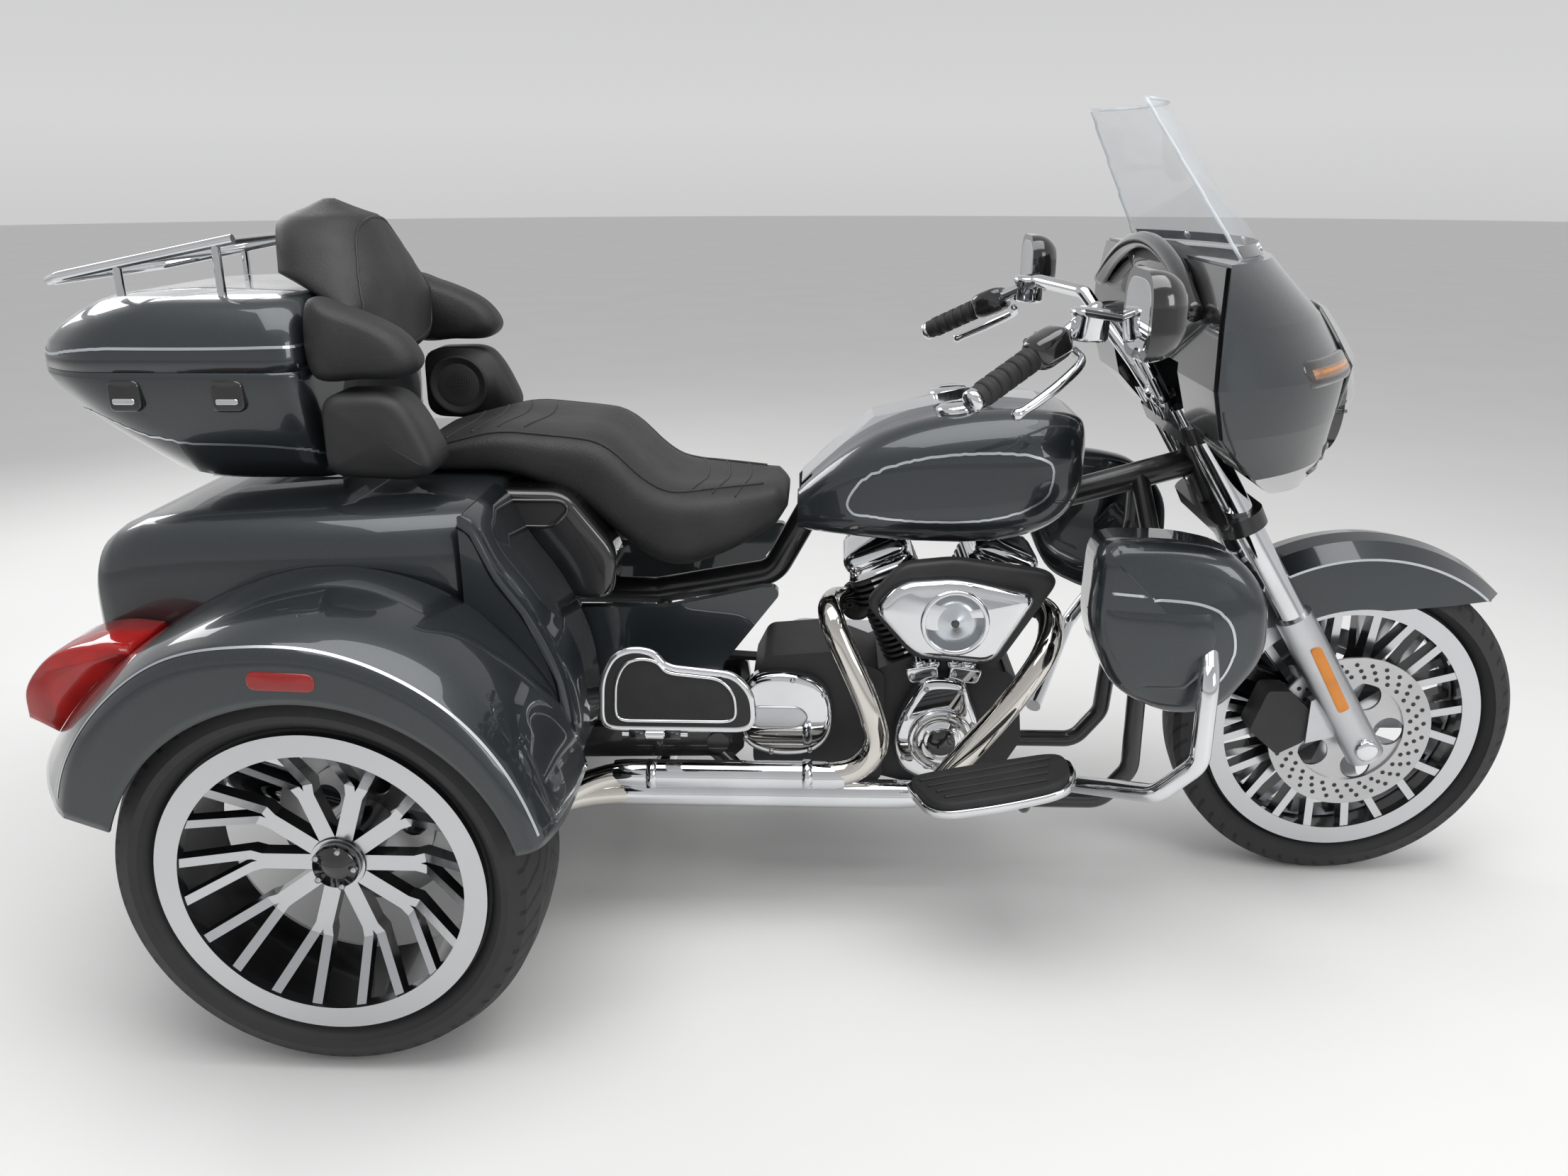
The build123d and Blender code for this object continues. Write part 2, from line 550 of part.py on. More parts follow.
SEAM_Z, BOX_WALL, BOX_FLOOR, LID_TOP = 1020, 4, 832, 1130
BOX_REAR, BOX_FRONT, BOX_HALF_W = -556, -92, 312
HINGE_Y = BOX_HALF_W + 10
HINGE_PIN_R = 3
KNUCKLES = (-440, -210)


def tour_box():
    w = BOX_WALL
    rows = [
        # z, rear, front, half width, corner
        (BOX_FLOOR, -377, -75, 235, 60),
        (875, -415, -80, 275, 60),
        (950, -512, -86, 302, 60),
        (SEAM_Z, BOX_REAR, BOX_FRONT, BOX_HALF_W, 60),
    ]
    outer = loft([level_section(*row) for row in rows], ruled=True)
    inner = loft([level_section(z, r + w, f - w, h - w, c - w) for z, r, f, h, c in rows], ruled=True)
    inner &= box(-700, 0, -400, 400, BOX_FLOOR + w, SEAM_Z)
    base = outer - inner
    lid_rows = [
        (SEAM_Z + GAP, BOX_REAR, BOX_FRONT, BOX_HALF_W, 60),
        (1082, -520, -96, 302, 60),
        (LID_TOP, -450, -110, 262, 60),
    ]
    lid = loft([level_section(*row) for row in lid_rows], ruled=True)
    lid_inner = loft([level_section(z, r + w, f - w, h - w, c - w) for z, r, f, h, c in lid_rows], ruled=True)
    lid -= lid_inner & box(-700, 0, -400, 400, SEAM_Z, LID_TOP - w)
    for x in KNUCKLES:
        base += rod((x - 20, HINGE_Y, SEAM_Z), (x + 20, HINGE_Y, SEAM_Z), 7)
        base += box(x - 20, x + 20, BOX_HALF_W - 3, HINGE_Y, SEAM_Z - 7, SEAM_Z - 1)
        base += rod((x - 50, HINGE_Y, SEAM_Z), (x + 50, HINGE_Y, SEAM_Z), HINGE_PIN_R)
        for way in SIDES:
            at = x + way * 35
            lid += rod((at - 14, HINGE_Y, SEAM_Z), (at + 14, HINGE_Y, SEAM_Z), 7)
            lid += box(at - 14, at + 14, BOX_HALF_W - 3, HINGE_Y, SEAM_Z + 1, SEAM_Z + 7)
        lid -= rod((x - 60, HINGE_Y, SEAM_Z), (x + 60, HINGE_Y, SEAM_Z), HINGE_PIN_R + FIT)
    save("tour_box", base)
    save("tour_box_lid", lid)
    bracket = box(-320, -94, -180, 180, TRUNK_TOP, BOX_FLOOR)
    save("tour_box_bracket", bracket)


def backrest_and_rack():
    pad = side_slab([(-90, 1006), (-90, LID_TOP + 3), (-200, LID_TOP + 3), (-216, 1252), (-137, 1278), (-64, 1263),
                     (-10, 1155), (-20, 1006)], -215, 215, 12)
    arm = side_slab([(-90, 1006), (61, 1006), (86, 1026), (82, 1048), (-30, 1097), (-90, 1120)], 200, 300, 12)
    save("backrest", pad + arm + mirror(arm, Plane.XZ))
    rail = [(-205, -225, 1218), (-500, -225, 1160), (-545, -180, 1150), (-545, 180, 1150), (-500, 225, 1160),
            (-205, 225, 1218)]
    rack = tube(rail, 8, 30)
    for x, z in ((-400, 1180), (-235, 1212)):
        rack += rod((x, -225, z), (x, 225, z), 6)
        for y in (-225, 225):
            rack += rod((x, y, LID_TOP), (x, y, z), 7)
    save("luggage_rack", rack)


def speaker_pods():
    pod = side_slab([(BOX_FRONT + 22, 850), (BOX_FRONT + 30, 985), (60, 990), (120, 867), (76, 843)], 225, 325, 18)
    save("speaker_pods", *both_sides(pod))


def passenger_boards():
    x0, x1 = 367, 620
    brackets = []
    for side in SIDES:
        arm = box(440, 470, RAIL_Y + RAIL_R + 2, BOARD_HINGE_Y, BOARD_HINGE_Z - 8, BOARD_HINGE_Z + 8)
        arm += rod((440, BOARD_HINGE_Y, BOARD_HINGE_Z), (470, BOARD_HINGE_Y, BOARD_HINGE_Z), 8)
        arm += rod((400, BOARD_HINGE_Y, BOARD_HINGE_Z), (510, BOARD_HINGE_Y, BOARD_HINGE_Z), 4)
        brackets.append(on_side(arm, side))
        board = box(x0, x1, BOARD_HINGE_Y - 7, BOARD_HINGE_Y + 7, BOARD_HINGE_Z + 12, BOARD_HINGE_Z + 145)
        for x in (425, 485):
            board += rod((x - 13, BOARD_HINGE_Y, BOARD_HINGE_Z), (x + 13, BOARD_HINGE_Y, BOARD_HINGE_Z), 8)
            board += box(x - 13, x + 13, BOARD_HINGE_Y - 7, BOARD_HINGE_Y + 7, BOARD_HINGE_Z, BOARD_HINGE_Z + 13)
        board -= rod((300, BOARD_HINGE_Y, BOARD_HINGE_Z), (700, BOARD_HINGE_Y, BOARD_HINGE_Z), 4 + FIT)
        save(f"passenger_board_{'left' if side > 0 else 'right'}", on_side(board, side))
    save("board_brackets", *brackets)


BOARD_HINGE_Y, BOARD_HINGE_Z = 352, 425


def rider_boards():
    x = ENGINE_X
    boards = []
    board = side_slab([(x - 72, 298), (x + 214, 358), (x + 214, 372), (x - 72, 312)], 285, 425, 3)
    for foot, z in ((0, 312), (160, 345)):
        board += box(x + foot - 10, x + foot + 10, RAIL_Y + RAIL_R + GAP, 305, LOW_RAIL_Z - 6, LOW_RAIL_Z + 6)
        board += box(x + foot - 10, x + foot + 10, 290, 305, LOW_RAIL_Z - 6, z)
    save("rider_boards", *both_sides(board))


GUARD_R = 16


def guard_path():
    """The guard's tube, from one lower rail over the front to the other."""
    x = ENGINE_X
    half = [(x + 408, 330, 640), (x + 389, 425, 560), (x + 389, 425, 420), (x + 334, 400, 352),
            (x + 230, 172, 250)]
    return [(a, -b, c) for a, b, c in reversed(half)] + half


def engine_guard():
    save("engine_guard", tube(guard_path(), GUARD_R, 45))


def lower_fairings():
    x = ENGINE_X
    outline = [(x + 232, 768), (x + 227, 619), (x + 266, 523), (x + 370, 475), (x + 434, 486), (x + 500, 580),
               (x + 509, 632), (x + 435, 725), (x + 330, 749)]
    pod = side_slab(outline, 272, 400, 25)
    pod -= tube(guard_path(), GUARD_R + GAP, 45)
    save("lower_fairings", *both_sides(pod))


FAIRING_WALL = 4
FAIRING_ROWS = [
    # z, rear, half width, nose
    (790, 1500, 130, 1594),
    (872, 1384, 375, 1602),
    (940, 1320, 415, 1612),
    (1015, 1300, 430, 1620),
    (1100, 1300, 425, 1562),
    (1190, 1310, 395, 1470),
]
SHIFT = WHEELBASE - 1725


def bowed_section(z, rear, half, nose, inset=0, back=0):
    """A D-shaped section at height z: an arc round the nose, closed straight across the rear."""
    rear, nose, half = rear - back + SHIFT, nose - inset + SHIFT, half - inset
    arc = ThreePointArc((rear, -half), (nose, 0), (rear, half))
    return Pos(0, 0, z) * make_face([arc, Line((rear, half), (rear, -half))])


def fairing():
    outer = loft([bowed_section(*row) for row in FAIRING_ROWS], ruled=True)
    inner = loft([bowed_section(*row, FAIRING_WALL, 6) for row in FAIRING_ROWS], ruled=True)
    inner &= box(1000, 2000, -600, 600, FAIRING_ROWS[0][0] + FAIRING_WALL, FAIRING_ROWS[-1][0] - FAIRING_WALL)
    lamp_z = 930
    shell = outer - inner - rod((1500 + SHIFT, 0, lamp_z), (1700 + SHIFT, 0, lamp_z), 92)
    save("fairing", shell)
    lamp = rod((1560 + SHIFT, 0, lamp_z), (1625 + SHIFT, 0, lamp_z), 92 - GAP)
    save("headlamp", lamp)
    fit = FAIRING_WALL + GAP
    dash = loft([bowed_section(*row, fit, 6) for row in FAIRING_ROWS], ruled=True)
    dash &= box(1000, 1380 + SHIFT, -600, 600, 880, FAIRING_ROWS[-1][0] - fit)
    hollow = loft([bowed_section(*row, fit, -14) for row in FAIRING_ROWS], ruled=True)
    dash -= hollow
    dash -= box(1000, 1700, -235, 235, 800, 1030)
    save("inner_fairing", dash)
    return inner


def windshield():
    base, top = FAIRING_ROWS[-1][0] + GAP, 1425
    rows = [(base, 1345, 330, 1462), (top, 1212, 200, 1290)]
    outer = loft([bowed_section(*row) for row in rows])
    inner = loft([bowed_section(*row, 4, 8) for row in rows])
    save("windshield", outer - inner)


def mirrors():
    solids = []
    for side in SIDES:
        shell = loft([
            Plane(origin=(x + SHIFT, 488, 1132), x_dir=(0, 1, 0), z_dir=(1, 0, 0)) * RectangleRounded(w, h, r)
            for x, w, h, r in ((1160, 160, 120, 45), (1180, 160, 120, 45), (1212, 110, 80, 30))])
        shell += rod((1185 + SHIFT, 430, 1114), (1114 + SHIFT, 300, 1116), 6)
        solids.append(on_side(shell, side))
    save("mirrors", *solids)


def grips():
    solids = []
    start, end = Vector(954 + SHIFT, 420, 1002), Vector(1060 + SHIFT, 345, 1062)
    way = (end - start).normalized()
    body = rod(tuple(start - way * 8), tuple(start + way * 122), 18)
    body -= rod(tuple(start), tuple(start + way * 200), 12.7 + GAP)
    save("grips", *both_sides(body))


def tail_lamps():
    lamp = side_slab([(-468, 540), (-462, 630), (-417, 645), (-417, 520)], 445, 560, 6)
    save("tail_lamps", *both_sides(lamp))


def main():
    os.makedirs("parts", exist_ok=True)
    backrest_and_rack()
    speaker_pods()
    passenger_boards()
    rider_boards()
    engine_guard()
    lower_fairings()
    fairing()
    windshield()
    mirrors()
    grips()
    tail_lamps()
    rear_wheels()
    front_wheel()
    fork()
    front_calipers()
    front_fender()
    handlebar()
    frame()
    rear_axle()
    drive_belt()
    engine()
    cylinders()
    engine_covers()
    exhaust()
    fuel_tank()
    seat()
    side_covers()
    trunk()
    rear_fenders()
    tour_box()


if __name__ == "__main__":
    main()
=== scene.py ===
"""Looks of a touring trike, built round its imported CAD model.

Metres, in the model's own frame: +X forward, +Y to the rider's left, +Z up, the origin on the
ground under the middle of the length. Surfaces are worked out as numpy arrays on a grid of two
parameters, and every finish is a node material on Object coordinates.
"""

import json
import logging
import math
from dataclasses import dataclass
from enum import Enum
from typing import Sequence

import bpy
import numpy as np
from mathutils import Matrix, Vector
from mathutils.bvhtree import BVHTree

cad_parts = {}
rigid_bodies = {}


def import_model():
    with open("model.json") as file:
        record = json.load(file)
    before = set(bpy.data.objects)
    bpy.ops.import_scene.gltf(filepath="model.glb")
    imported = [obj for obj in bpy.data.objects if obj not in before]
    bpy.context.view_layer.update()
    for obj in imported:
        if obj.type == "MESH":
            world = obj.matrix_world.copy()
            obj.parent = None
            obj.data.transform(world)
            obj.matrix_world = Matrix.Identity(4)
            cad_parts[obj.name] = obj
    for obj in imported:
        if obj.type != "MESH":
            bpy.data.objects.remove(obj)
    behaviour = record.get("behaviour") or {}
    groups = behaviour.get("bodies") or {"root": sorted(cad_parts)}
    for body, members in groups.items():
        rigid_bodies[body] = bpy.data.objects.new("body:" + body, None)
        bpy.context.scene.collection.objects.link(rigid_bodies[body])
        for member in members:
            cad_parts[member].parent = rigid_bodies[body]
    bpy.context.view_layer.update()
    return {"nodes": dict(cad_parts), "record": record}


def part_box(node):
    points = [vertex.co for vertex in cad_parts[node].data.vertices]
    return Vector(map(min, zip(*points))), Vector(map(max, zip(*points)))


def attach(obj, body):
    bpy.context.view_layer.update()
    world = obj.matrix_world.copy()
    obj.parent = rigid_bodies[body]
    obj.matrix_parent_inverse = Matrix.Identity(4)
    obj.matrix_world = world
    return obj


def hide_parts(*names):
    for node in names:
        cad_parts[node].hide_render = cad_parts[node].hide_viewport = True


log = logging.getLogger("trike")

REAR_AXLE_X = -0.741
# The right and the left side, as signs of Y.
SIDES = (-1, 1)

Point = tuple[float, float, float]
Colour = tuple[float, float, float]


# Finishes


class Nodes:
    """A short hand for one material's node tree."""

    def __init__(self, name: str) -> None:
        """Starts an empty material with a Principled shader.

        Args:
            name: the material's name.
        """
        self.material = bpy.data.materials.new(name)
        self.material.use_nodes = True
        self.tree = self.material.node_tree
        self.shader = self.tree.nodes["Principled BSDF"]
        self.coords = self.add("ShaderNodeTexCoord").outputs["Object"]

    def add(self, kind: str, **values: object) -> bpy.types.Node:
        """Adds a node.

        Args:
            kind: the node's type name.
            values: attributes of the node, or inputs where the name is one of its sockets.

        Returns:
            The new node.
        """
        node = self.tree.nodes.new(kind)
        for key, value in values.items():
            socket = key.replace("_", " ").title()
            if socket in node.inputs and not hasattr(node, key):
                node.inputs[socket].default_value = value
            else:
                setattr(node, key, value)
        return node

    def link(self, source: bpy.types.NodeSocket, target: bpy.types.NodeSocket) -> None:
        """Joins two sockets."""
        self.tree.links.new(source, target)

    def set(self, **values: object) -> None:
        """Sets the shader's own sockets, named with underscores for spaces."""
        for key, value in values.items():
            self.shader.inputs[key.replace("_", " ")].default_value = value

    def noise(self, scale: float, detail: float) -> bpy.types.NodeSocket:
        """Noise on Object coordinates.

        Args:
            scale: cells per metre.
            detail: number of octaves.

        Returns:
            The factor socket.
        """
        node = self.add("ShaderNodeTexNoise", scale=scale, detail=detail)
        self.link(self.coords, node.inputs["Vector"])
        return node.outputs["Fac"]

    def mapped(self, value: bpy.types.NodeSocket, low: float, high: float) -> bpy.types.NodeSocket:
        """Maps 0..1 to low..high.

        Args:
            value: the socket to map.
            low: result at 0.
            high: result at 1.

        Returns:
            The mapped socket.
        """
        node = self.add("ShaderNodeMapRange")
        node.inputs["To Min"].default_value = low
        node.inputs["To Max"].default_value = high
        self.link(value, node.inputs["Value"])
        return node.outputs["Result"]

    def ramp(self, value: bpy.types.NodeSocket,
             stops: Sequence[tuple[float, Colour]]) -> bpy.types.NodeSocket:
        """Maps a value to colours.

        Args:
            value: the factor.
            stops: place and colour of each stop, in order.

        Returns:
            The colour socket.
        """
        node = self.add("ShaderNodeValToRGB")
        band = node.color_ramp
        while len(band.elements) < len(stops):
            band.elements.new(0.5)
        for element, (place, colour) in zip(band.elements, stops):
            element.position = place
            element.color = (*colour, 1.0)
        self.link(value, node.inputs["Fac"])
        return node.outputs["Color"]

    def bump(self, height: bpy.types.NodeSocket, distance: float, strength: float = 1.0) -> None:
        """Feeds the shader's normal from a height.

        Args:
            height: the height socket, 0..1.
            distance: metres from low to high.
            strength: how much of it shows.
        """
        node = self.add("ShaderNodeBump", strength=strength, distance=distance)
        self.link(height, node.inputs["Height"])
        self.link(node.outputs["Normal"], self.shader.inputs["Normal"])


@dataclass(frozen=True)
class Paint:
    """Gloss paint over metal flake."""

    name: str
    colour: Colour
    flake: Colour
    sparkle: float = 0.55

    def material(self) -> bpy.types.Material:
        """Builds the material: fine noise mixes the base colour with the flake's, under a clear coat."""
        n = Nodes(self.name)
        n.link(n.ramp(n.noise(2600, 2), [(0.35, self.colour), (0.75, self.flake)]),
               n.shader.inputs["Base Color"])
        n.link(n.mapped(n.noise(7, 3), 0.30, 0.40), n.shader.inputs["Roughness"])
        n.set(Metallic=self.sparkle, Coat_Weight=1.0, Coat_Roughness=0.03)
        return n.material


@dataclass(frozen=True)
class Metal:
    """Bare or plated metal, polished to ground."""

    name: str
    colour: Colour
    rough: float
    smudge: float = 0.04
    grain: float = 0.0

    def material(self) -> bpy.types.Material:
        """Builds the material: noise varies the polish, and a fine bump gives the grain."""
        n = Nodes(self.name)
        shade = tuple(0.88 * c for c in self.colour)
        n.link(n.ramp(n.noise(9, 4), [(0.3, shade), (0.7, self.colour)]), n.shader.inputs["Base Color"])
        n.link(n.mapped(n.noise(26, 5), self.rough, self.rough + self.smudge), n.shader.inputs["Roughness"])
        n.set(Metallic=1.0)
        if self.grain:
            n.bump(n.noise(900, 2), self.grain)
        return n.material


@dataclass(frozen=True)
class TwoTone:
    """A cast wheel: faces that look sideways are machined bright, the rest is painted."""

    name: str
    bright: Colour
    dark: Colour
    edge: float = 0.62

    def material(self) -> bpy.types.Material:
        """Builds the material: a step of the object normal's side component picks metal or paint."""
        n = Nodes(self.name)
        split = n.add("ShaderNodeSeparateXYZ")
        n.link(n.add("ShaderNodeTexCoord").outputs["Normal"], split.inputs["Vector"])
        side = n.add("ShaderNodeMath", operation="ABSOLUTE")
        n.link(split.outputs["Y"], side.inputs[0])
        step = n.add("ShaderNodeMapRange")
        step.inputs["From Min"].default_value = self.edge
        step.inputs["From Max"].default_value = self.edge + 0.06
        n.link(side.outputs["Value"], step.inputs["Value"])
        bright = step.outputs["Result"]
        n.link(n.ramp(bright, [(0.0, self.dark), (1.0, self.bright)]), n.shader.inputs["Base Color"])
        n.link(bright, n.shader.inputs["Metallic"])
        n.link(n.mapped(n.noise(60, 4), 0.16, 0.28), n.shader.inputs["Roughness"])
        n.set(Coat_Weight=0.5, Coat_Roughness=0.05)
        return n.material


@dataclass(frozen=True)
class Tread:
    """A road tyre: slanted grooves round the crown, smooth sidewalls with two fine rings."""

    name: str
    centre: Point
    radius: float
    half_width: float
    sipes: int = 54

    def material(self) -> bpy.types.Material:
        """Builds the material.

        With a the angle round the axle and y the distance from the tyre's middle, the groove depth is
        where sin(sipes * a + 16 |y| / half_width) is near 1, and it fades out at the shoulder.
        """
        n = Nodes(self.name)
        split = n.add("ShaderNodeSeparateXYZ")
        n.link(n.coords, split.inputs["Vector"])

        def step(kind: str, first: object, second: object = 0.0) -> bpy.types.NodeSocket:
            """One Math node; each operand is a socket or a number."""
            node = n.add("ShaderNodeMath", operation=kind)
            for slot, value in enumerate((first, second)):
                if isinstance(value, bpy.types.NodeSocket):
                    n.link(value, node.inputs[slot])
                else:
                    node.inputs[slot].default_value = value
            return node.outputs["Value"]

        x = step("SUBTRACT", split.outputs["X"], self.centre[0])
        z = step("SUBTRACT", split.outputs["Z"], self.centre[2])
        y = step("ABSOLUTE", step("SUBTRACT", split.outputs["Y"], self.centre[1]))
        angle = step("ARCTAN2", z, x)
        slant = step("MULTIPLY", y, 16.0 / self.half_width)
        wave = step("SINE", step("ADD", step("MULTIPLY", angle, float(self.sipes)), slant))
        groove = step("GREATER_THAN", wave, 0.72)
        radius = step("SQRT", step("ADD", step("MULTIPLY", x, x), step("MULTIPLY", z, z)))
        crown = step("GREATER_THAN", radius, self.radius - 0.026)
        ring = step("GREATER_THAN", step("SINE", step("MULTIPLY", radius, 900.0)), 0.75)
        wall = step("MULTIPLY", ring, step("LESS_THAN", radius, self.radius - 0.05))
        depth = step("ADD", step("MULTIPLY", groove, crown), step("MULTIPLY", wall, 0.12))
        # The grooves and the sidewall rings are painted darker than the rubber round them: painted shade in
        # the recesses, beside the bump.
        n.link(n.ramp(depth, [(0.0, (0.021, 0.021, 0.022)), (1.0, (0.004, 0.004, 0.004))]),
               n.shader.inputs["Base Color"])
        n.link(n.mapped(n.noise(45, 4), 0.55, 0.72), n.shader.inputs["Roughness"])
        n.bump(step("SUBTRACT", 1.0, depth), 0.004, 0.8)
        return n.material


@dataclass(frozen=True)
class Mesh:
    """Speaker cloth or a grille: round holes in rows in black metal."""

    name: str
    pitch: float = 0.0045

    def material(self) -> bpy.types.Material:
        """Builds the material: the middles of a Voronoi grid without randomness are the holes."""
        n = Nodes(self.name)
        cells = n.add("ShaderNodeTexVoronoi", scale=1.0 / self.pitch, randomness=0.0)
        n.link(n.coords, cells.inputs["Vector"])
        # The holes are painted near black, darker than the metal round them: painted shade in the openings.
        n.link(n.ramp(cells.outputs["Distance"],
                      [(0.30, (0.001, 0.001, 0.001)), (0.42, (0.035, 0.035, 0.036))]),
               n.shader.inputs["Base Color"])
        n.link(n.mapped(n.noise(30, 3), 0.40, 0.50), n.shader.inputs["Roughness"])
        n.bump(cells.outputs["Distance"], 0.001, 0.6)
        return n.material


@dataclass(frozen=True)
class Moulded:
    """Moulded plastic, rubber or painted castings."""

    name: str
    colour: Colour
    rough: float
    grain: float = 0.0002
    coat: float = 0.0
    cells: float = 700.0

    def material(self) -> bpy.types.Material:
        """Builds the material: wide noise for tone, fine noise for the moulded grain."""
        n = Nodes(self.name)
        light = tuple(1.25 * c + 0.004 for c in self.colour)
        n.link(n.ramp(n.noise(14, 4), [(0.3, self.colour), (0.75, light)]), n.shader.inputs["Base Color"])
        n.link(n.mapped(n.noise(40, 4), self.rough - 0.04, self.rough + 0.06), n.shader.inputs["Roughness"])
        n.set(Coat_Weight=self.coat, Coat_Roughness=0.04)
        n.bump(n.noise(self.cells, 3), self.grain)
        return n.material


@dataclass(frozen=True)
class Leather:
    """Grained seat vinyl."""

    name: str
    colour: Colour
    rough: float = 0.46

    def material(self) -> bpy.types.Material:
        """Builds the material: small Voronoi cells stand proud as pebbled grain."""
        n = Nodes(self.name)
        light = tuple(1.5 * c + 0.006 for c in self.colour)
        n.link(n.ramp(n.noise(11, 5), [(0.3, self.colour), (0.8, light)]), n.shader.inputs["Base Color"])
        cells = n.add("ShaderNodeTexVoronoi", scale=520.0)
        n.link(n.coords, cells.inputs["Vector"])
        n.link(n.mapped(n.noise(30, 3), self.rough, self.rough + 0.12), n.shader.inputs["Roughness"])
        n.bump(cells.outputs["Distance"], 0.0006, 0.7)
        return n.material


@dataclass(frozen=True)
class Lens:
    """Clear or coloured plastic that light goes through."""

    name: str
    colour: Colour
    clear: float = 0.9
    rough: float = 0.04
    alpha: float = 1.0
    glow: float = 0.0

    def material(self) -> bpy.types.Material:
        """Builds the material: a transmissive shader whose tone shifts a little over the lens."""
        n = Nodes(self.name)
        dark = tuple(0.8 * c for c in self.colour)
        n.link(n.ramp(n.noise(30, 2), [(0.3, dark), (0.7, self.colour)]), n.shader.inputs["Base Color"])
        n.set(Transmission_Weight=self.clear, Roughness=self.rough, IOR=1.45, Alpha=self.alpha,
              Coat_Weight=0.6, Coat_Roughness=0.03)
        # The glow is painted light: it makes the red and amber lenses shine, and with them the reflectors,
        # which are no lamps.
        if self.glow:
            n.set(Emission_Color=(*self.colour, 1.0), Emission_Strength=self.glow)
        return n.material


PAINT = Paint("charcoal_paint", (0.014, 0.018, 0.021), (0.056, 0.068, 0.074))
CHROME = Metal("chrome", (0.80, 0.81, 0.83), 0.035, 0.03)
ALLOY = Metal("satin_alloy", (0.62, 0.63, 0.65), 0.28, 0.08, 0.00005)
RIM = TwoTone("machined_rim", (0.58, 0.59, 0.61), (0.010, 0.010, 0.011))
STEEL = Metal("ground_steel", (0.55, 0.55, 0.56), 0.24, 0.1, 0.00008)
WARM_CHROME = Metal("warm_chrome", (0.76, 0.73, 0.68), 0.05, 0.03)
SILVER = Metal("silver_stripe", (0.66, 0.70, 0.74), 0.30, 0.05)
GLOSS_BLACK = Moulded("gloss_black", (0.008, 0.008, 0.009), 0.16, 0.00001, 1.0)
BLACK_ENAMEL = Moulded("black_enamel", (0.010, 0.010, 0.011), 0.30, 0.00004, 0.5)
ENGINE_BLACK = Moulded("engine_black", (0.016, 0.016, 0.017), 0.48, 0.00015, 0.0, 1200.0)
BLACK_PLASTIC = Moulded("black_plastic", (0.018, 0.018, 0.019), 0.52, 0.00012)
RUBBER = Moulded("black_rubber", (0.016, 0.016, 0.016), 0.66, 0.00015)
TYRE = Moulded("tyre_rubber", (0.020, 0.020, 0.021), 0.62, 0.00020)
SEAT_VINYL = Leather("seat_vinyl", (0.013, 0.013, 0.014))
WINDSHIELD = Lens("windshield", (0.80, 0.86, 0.90), 0.0, 0.02, 0.16)
LAMP_GLASS = Lens("lamp_glass", (0.95, 0.96, 0.98), 0.95, 0.02)
CLEAR_COVER = Lens("clear_cover", (0.90, 0.93, 0.95), 0.0, 0.01, 0.14)
CLEAR_RIM = Lens("clear_rim", (0.80, 0.86, 0.90), 0.0, 0.05, 0.55)
RED_LENS = Lens("red_lens", (0.55, 0.015, 0.012), 0.45, 0.06, 1.0, 0.05)
AMBER_LENS = Lens("amber_lens", (0.95, 0.33, 0.02), 0.45, 0.06, 1.0, 0.08)

NODE_FINISHES = {
    "paint": PAINT, "black_paint": BLACK_ENAMEL, "black_plastic": BLACK_PLASTIC, "gloss_black": GLOSS_BLACK,
    "chrome": CHROME, "alloy": ALLOY, "rim_alloy": RIM, "steel": STEEL, "engine_metal": ENGINE_BLACK,
    "tyre_rubber": TYRE, "rubber": RUBBER, "leather": SEAT_VINYL, "lamp_red": RED_LENS,
    "lamp_amber": AMBER_LENS, "lamp_clear": LAMP_GLASS, "screen": WINDSHIELD,
}
NODE_OVERRIDES = {"mirrors": GLOSS_BLACK, "headlamp": GLOSS_BLACK}
SCREEN_GLASS = Moulded("screen_glass", (0.004, 0.004, 0.005), 0.08, 0.0, 1.0)
MIRROR_GLASS = Metal("mirror_glass", (0.86, 0.88, 0.90), 0.02, 0.01)
GRILLE = Mesh("speaker_grille")


class Workshop:
    """Keeps one material for each finish, and puts finishes on pieces."""

    def __init__(self) -> None:
        """Starts with no material built."""
        self.made: dict[str, bpy.types.Material] = {}

    def finish(self, kind: object) -> bpy.types.Material:
        """Returns the material of a finish, built at its first use."""
        if kind.name not in self.made:
            self.made[kind.name] = kind.material()
        return self.made[kind.name]

    def dress(self, piece: bpy.types.Object, kind: object) -> None:
        """Gives a piece one finish all over."""
        piece.data.materials.clear()
        piece.data.materials.append(self.finish(kind))


SHOP = Workshop()


# Meshes


def mesh_piece(name: str, points: np.ndarray, faces: Sequence[Sequence[int]], kind: object, body: str,
               smooth: bool = True) -> bpy.types.Object:
    """Makes one piece from arrays, dresses it and hangs it on a body.

    Args:
        name: the piece's name.
        points: N by 3 array of places.
        faces: corner numbers of each face.
        kind: the finish.
        body: the CAD body that carries the piece.
        smooth: whether the faces are shaded smooth.

    Returns:
        The new object.
    """
    data = bpy.data.meshes.new(name)
    data.from_pydata(points.tolist(), [], [list(f) for f in faces])
    data.update()
    data.polygons.foreach_set("use_smooth", np.full(len(data.polygons), smooth))
    piece = bpy.data.objects.new(name, data)
    bpy.context.collection.objects.link(piece)
    SHOP.dress(piece, kind)
    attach(piece, body)
    return piece


def grid_faces(rows: int, columns: int, wrap_rows: bool = False, wrap_columns: bool = False) -> np.ndarray:
    """Corner numbers of the quads of a grid whose points run row by row.

    Args:
        rows: number of rows.
        columns: points in each row.
        wrap_rows: joins the last row to the first.
        wrap_columns: joins the last column to the first.

    Returns:
        An array of four corners for each quad.
    """
    r = np.arange(rows if wrap_rows else rows - 1)[:, None]
    c = np.arange(columns if wrap_columns else columns - 1)[None, :]
    r1, c1 = (r + 1) % rows, (c + 1) % columns
    quads = np.stack([r * columns + c, r * columns + c1, r1 * columns + c1, r1 * columns + c], axis=-1)
    return quads.reshape(-1, 4)


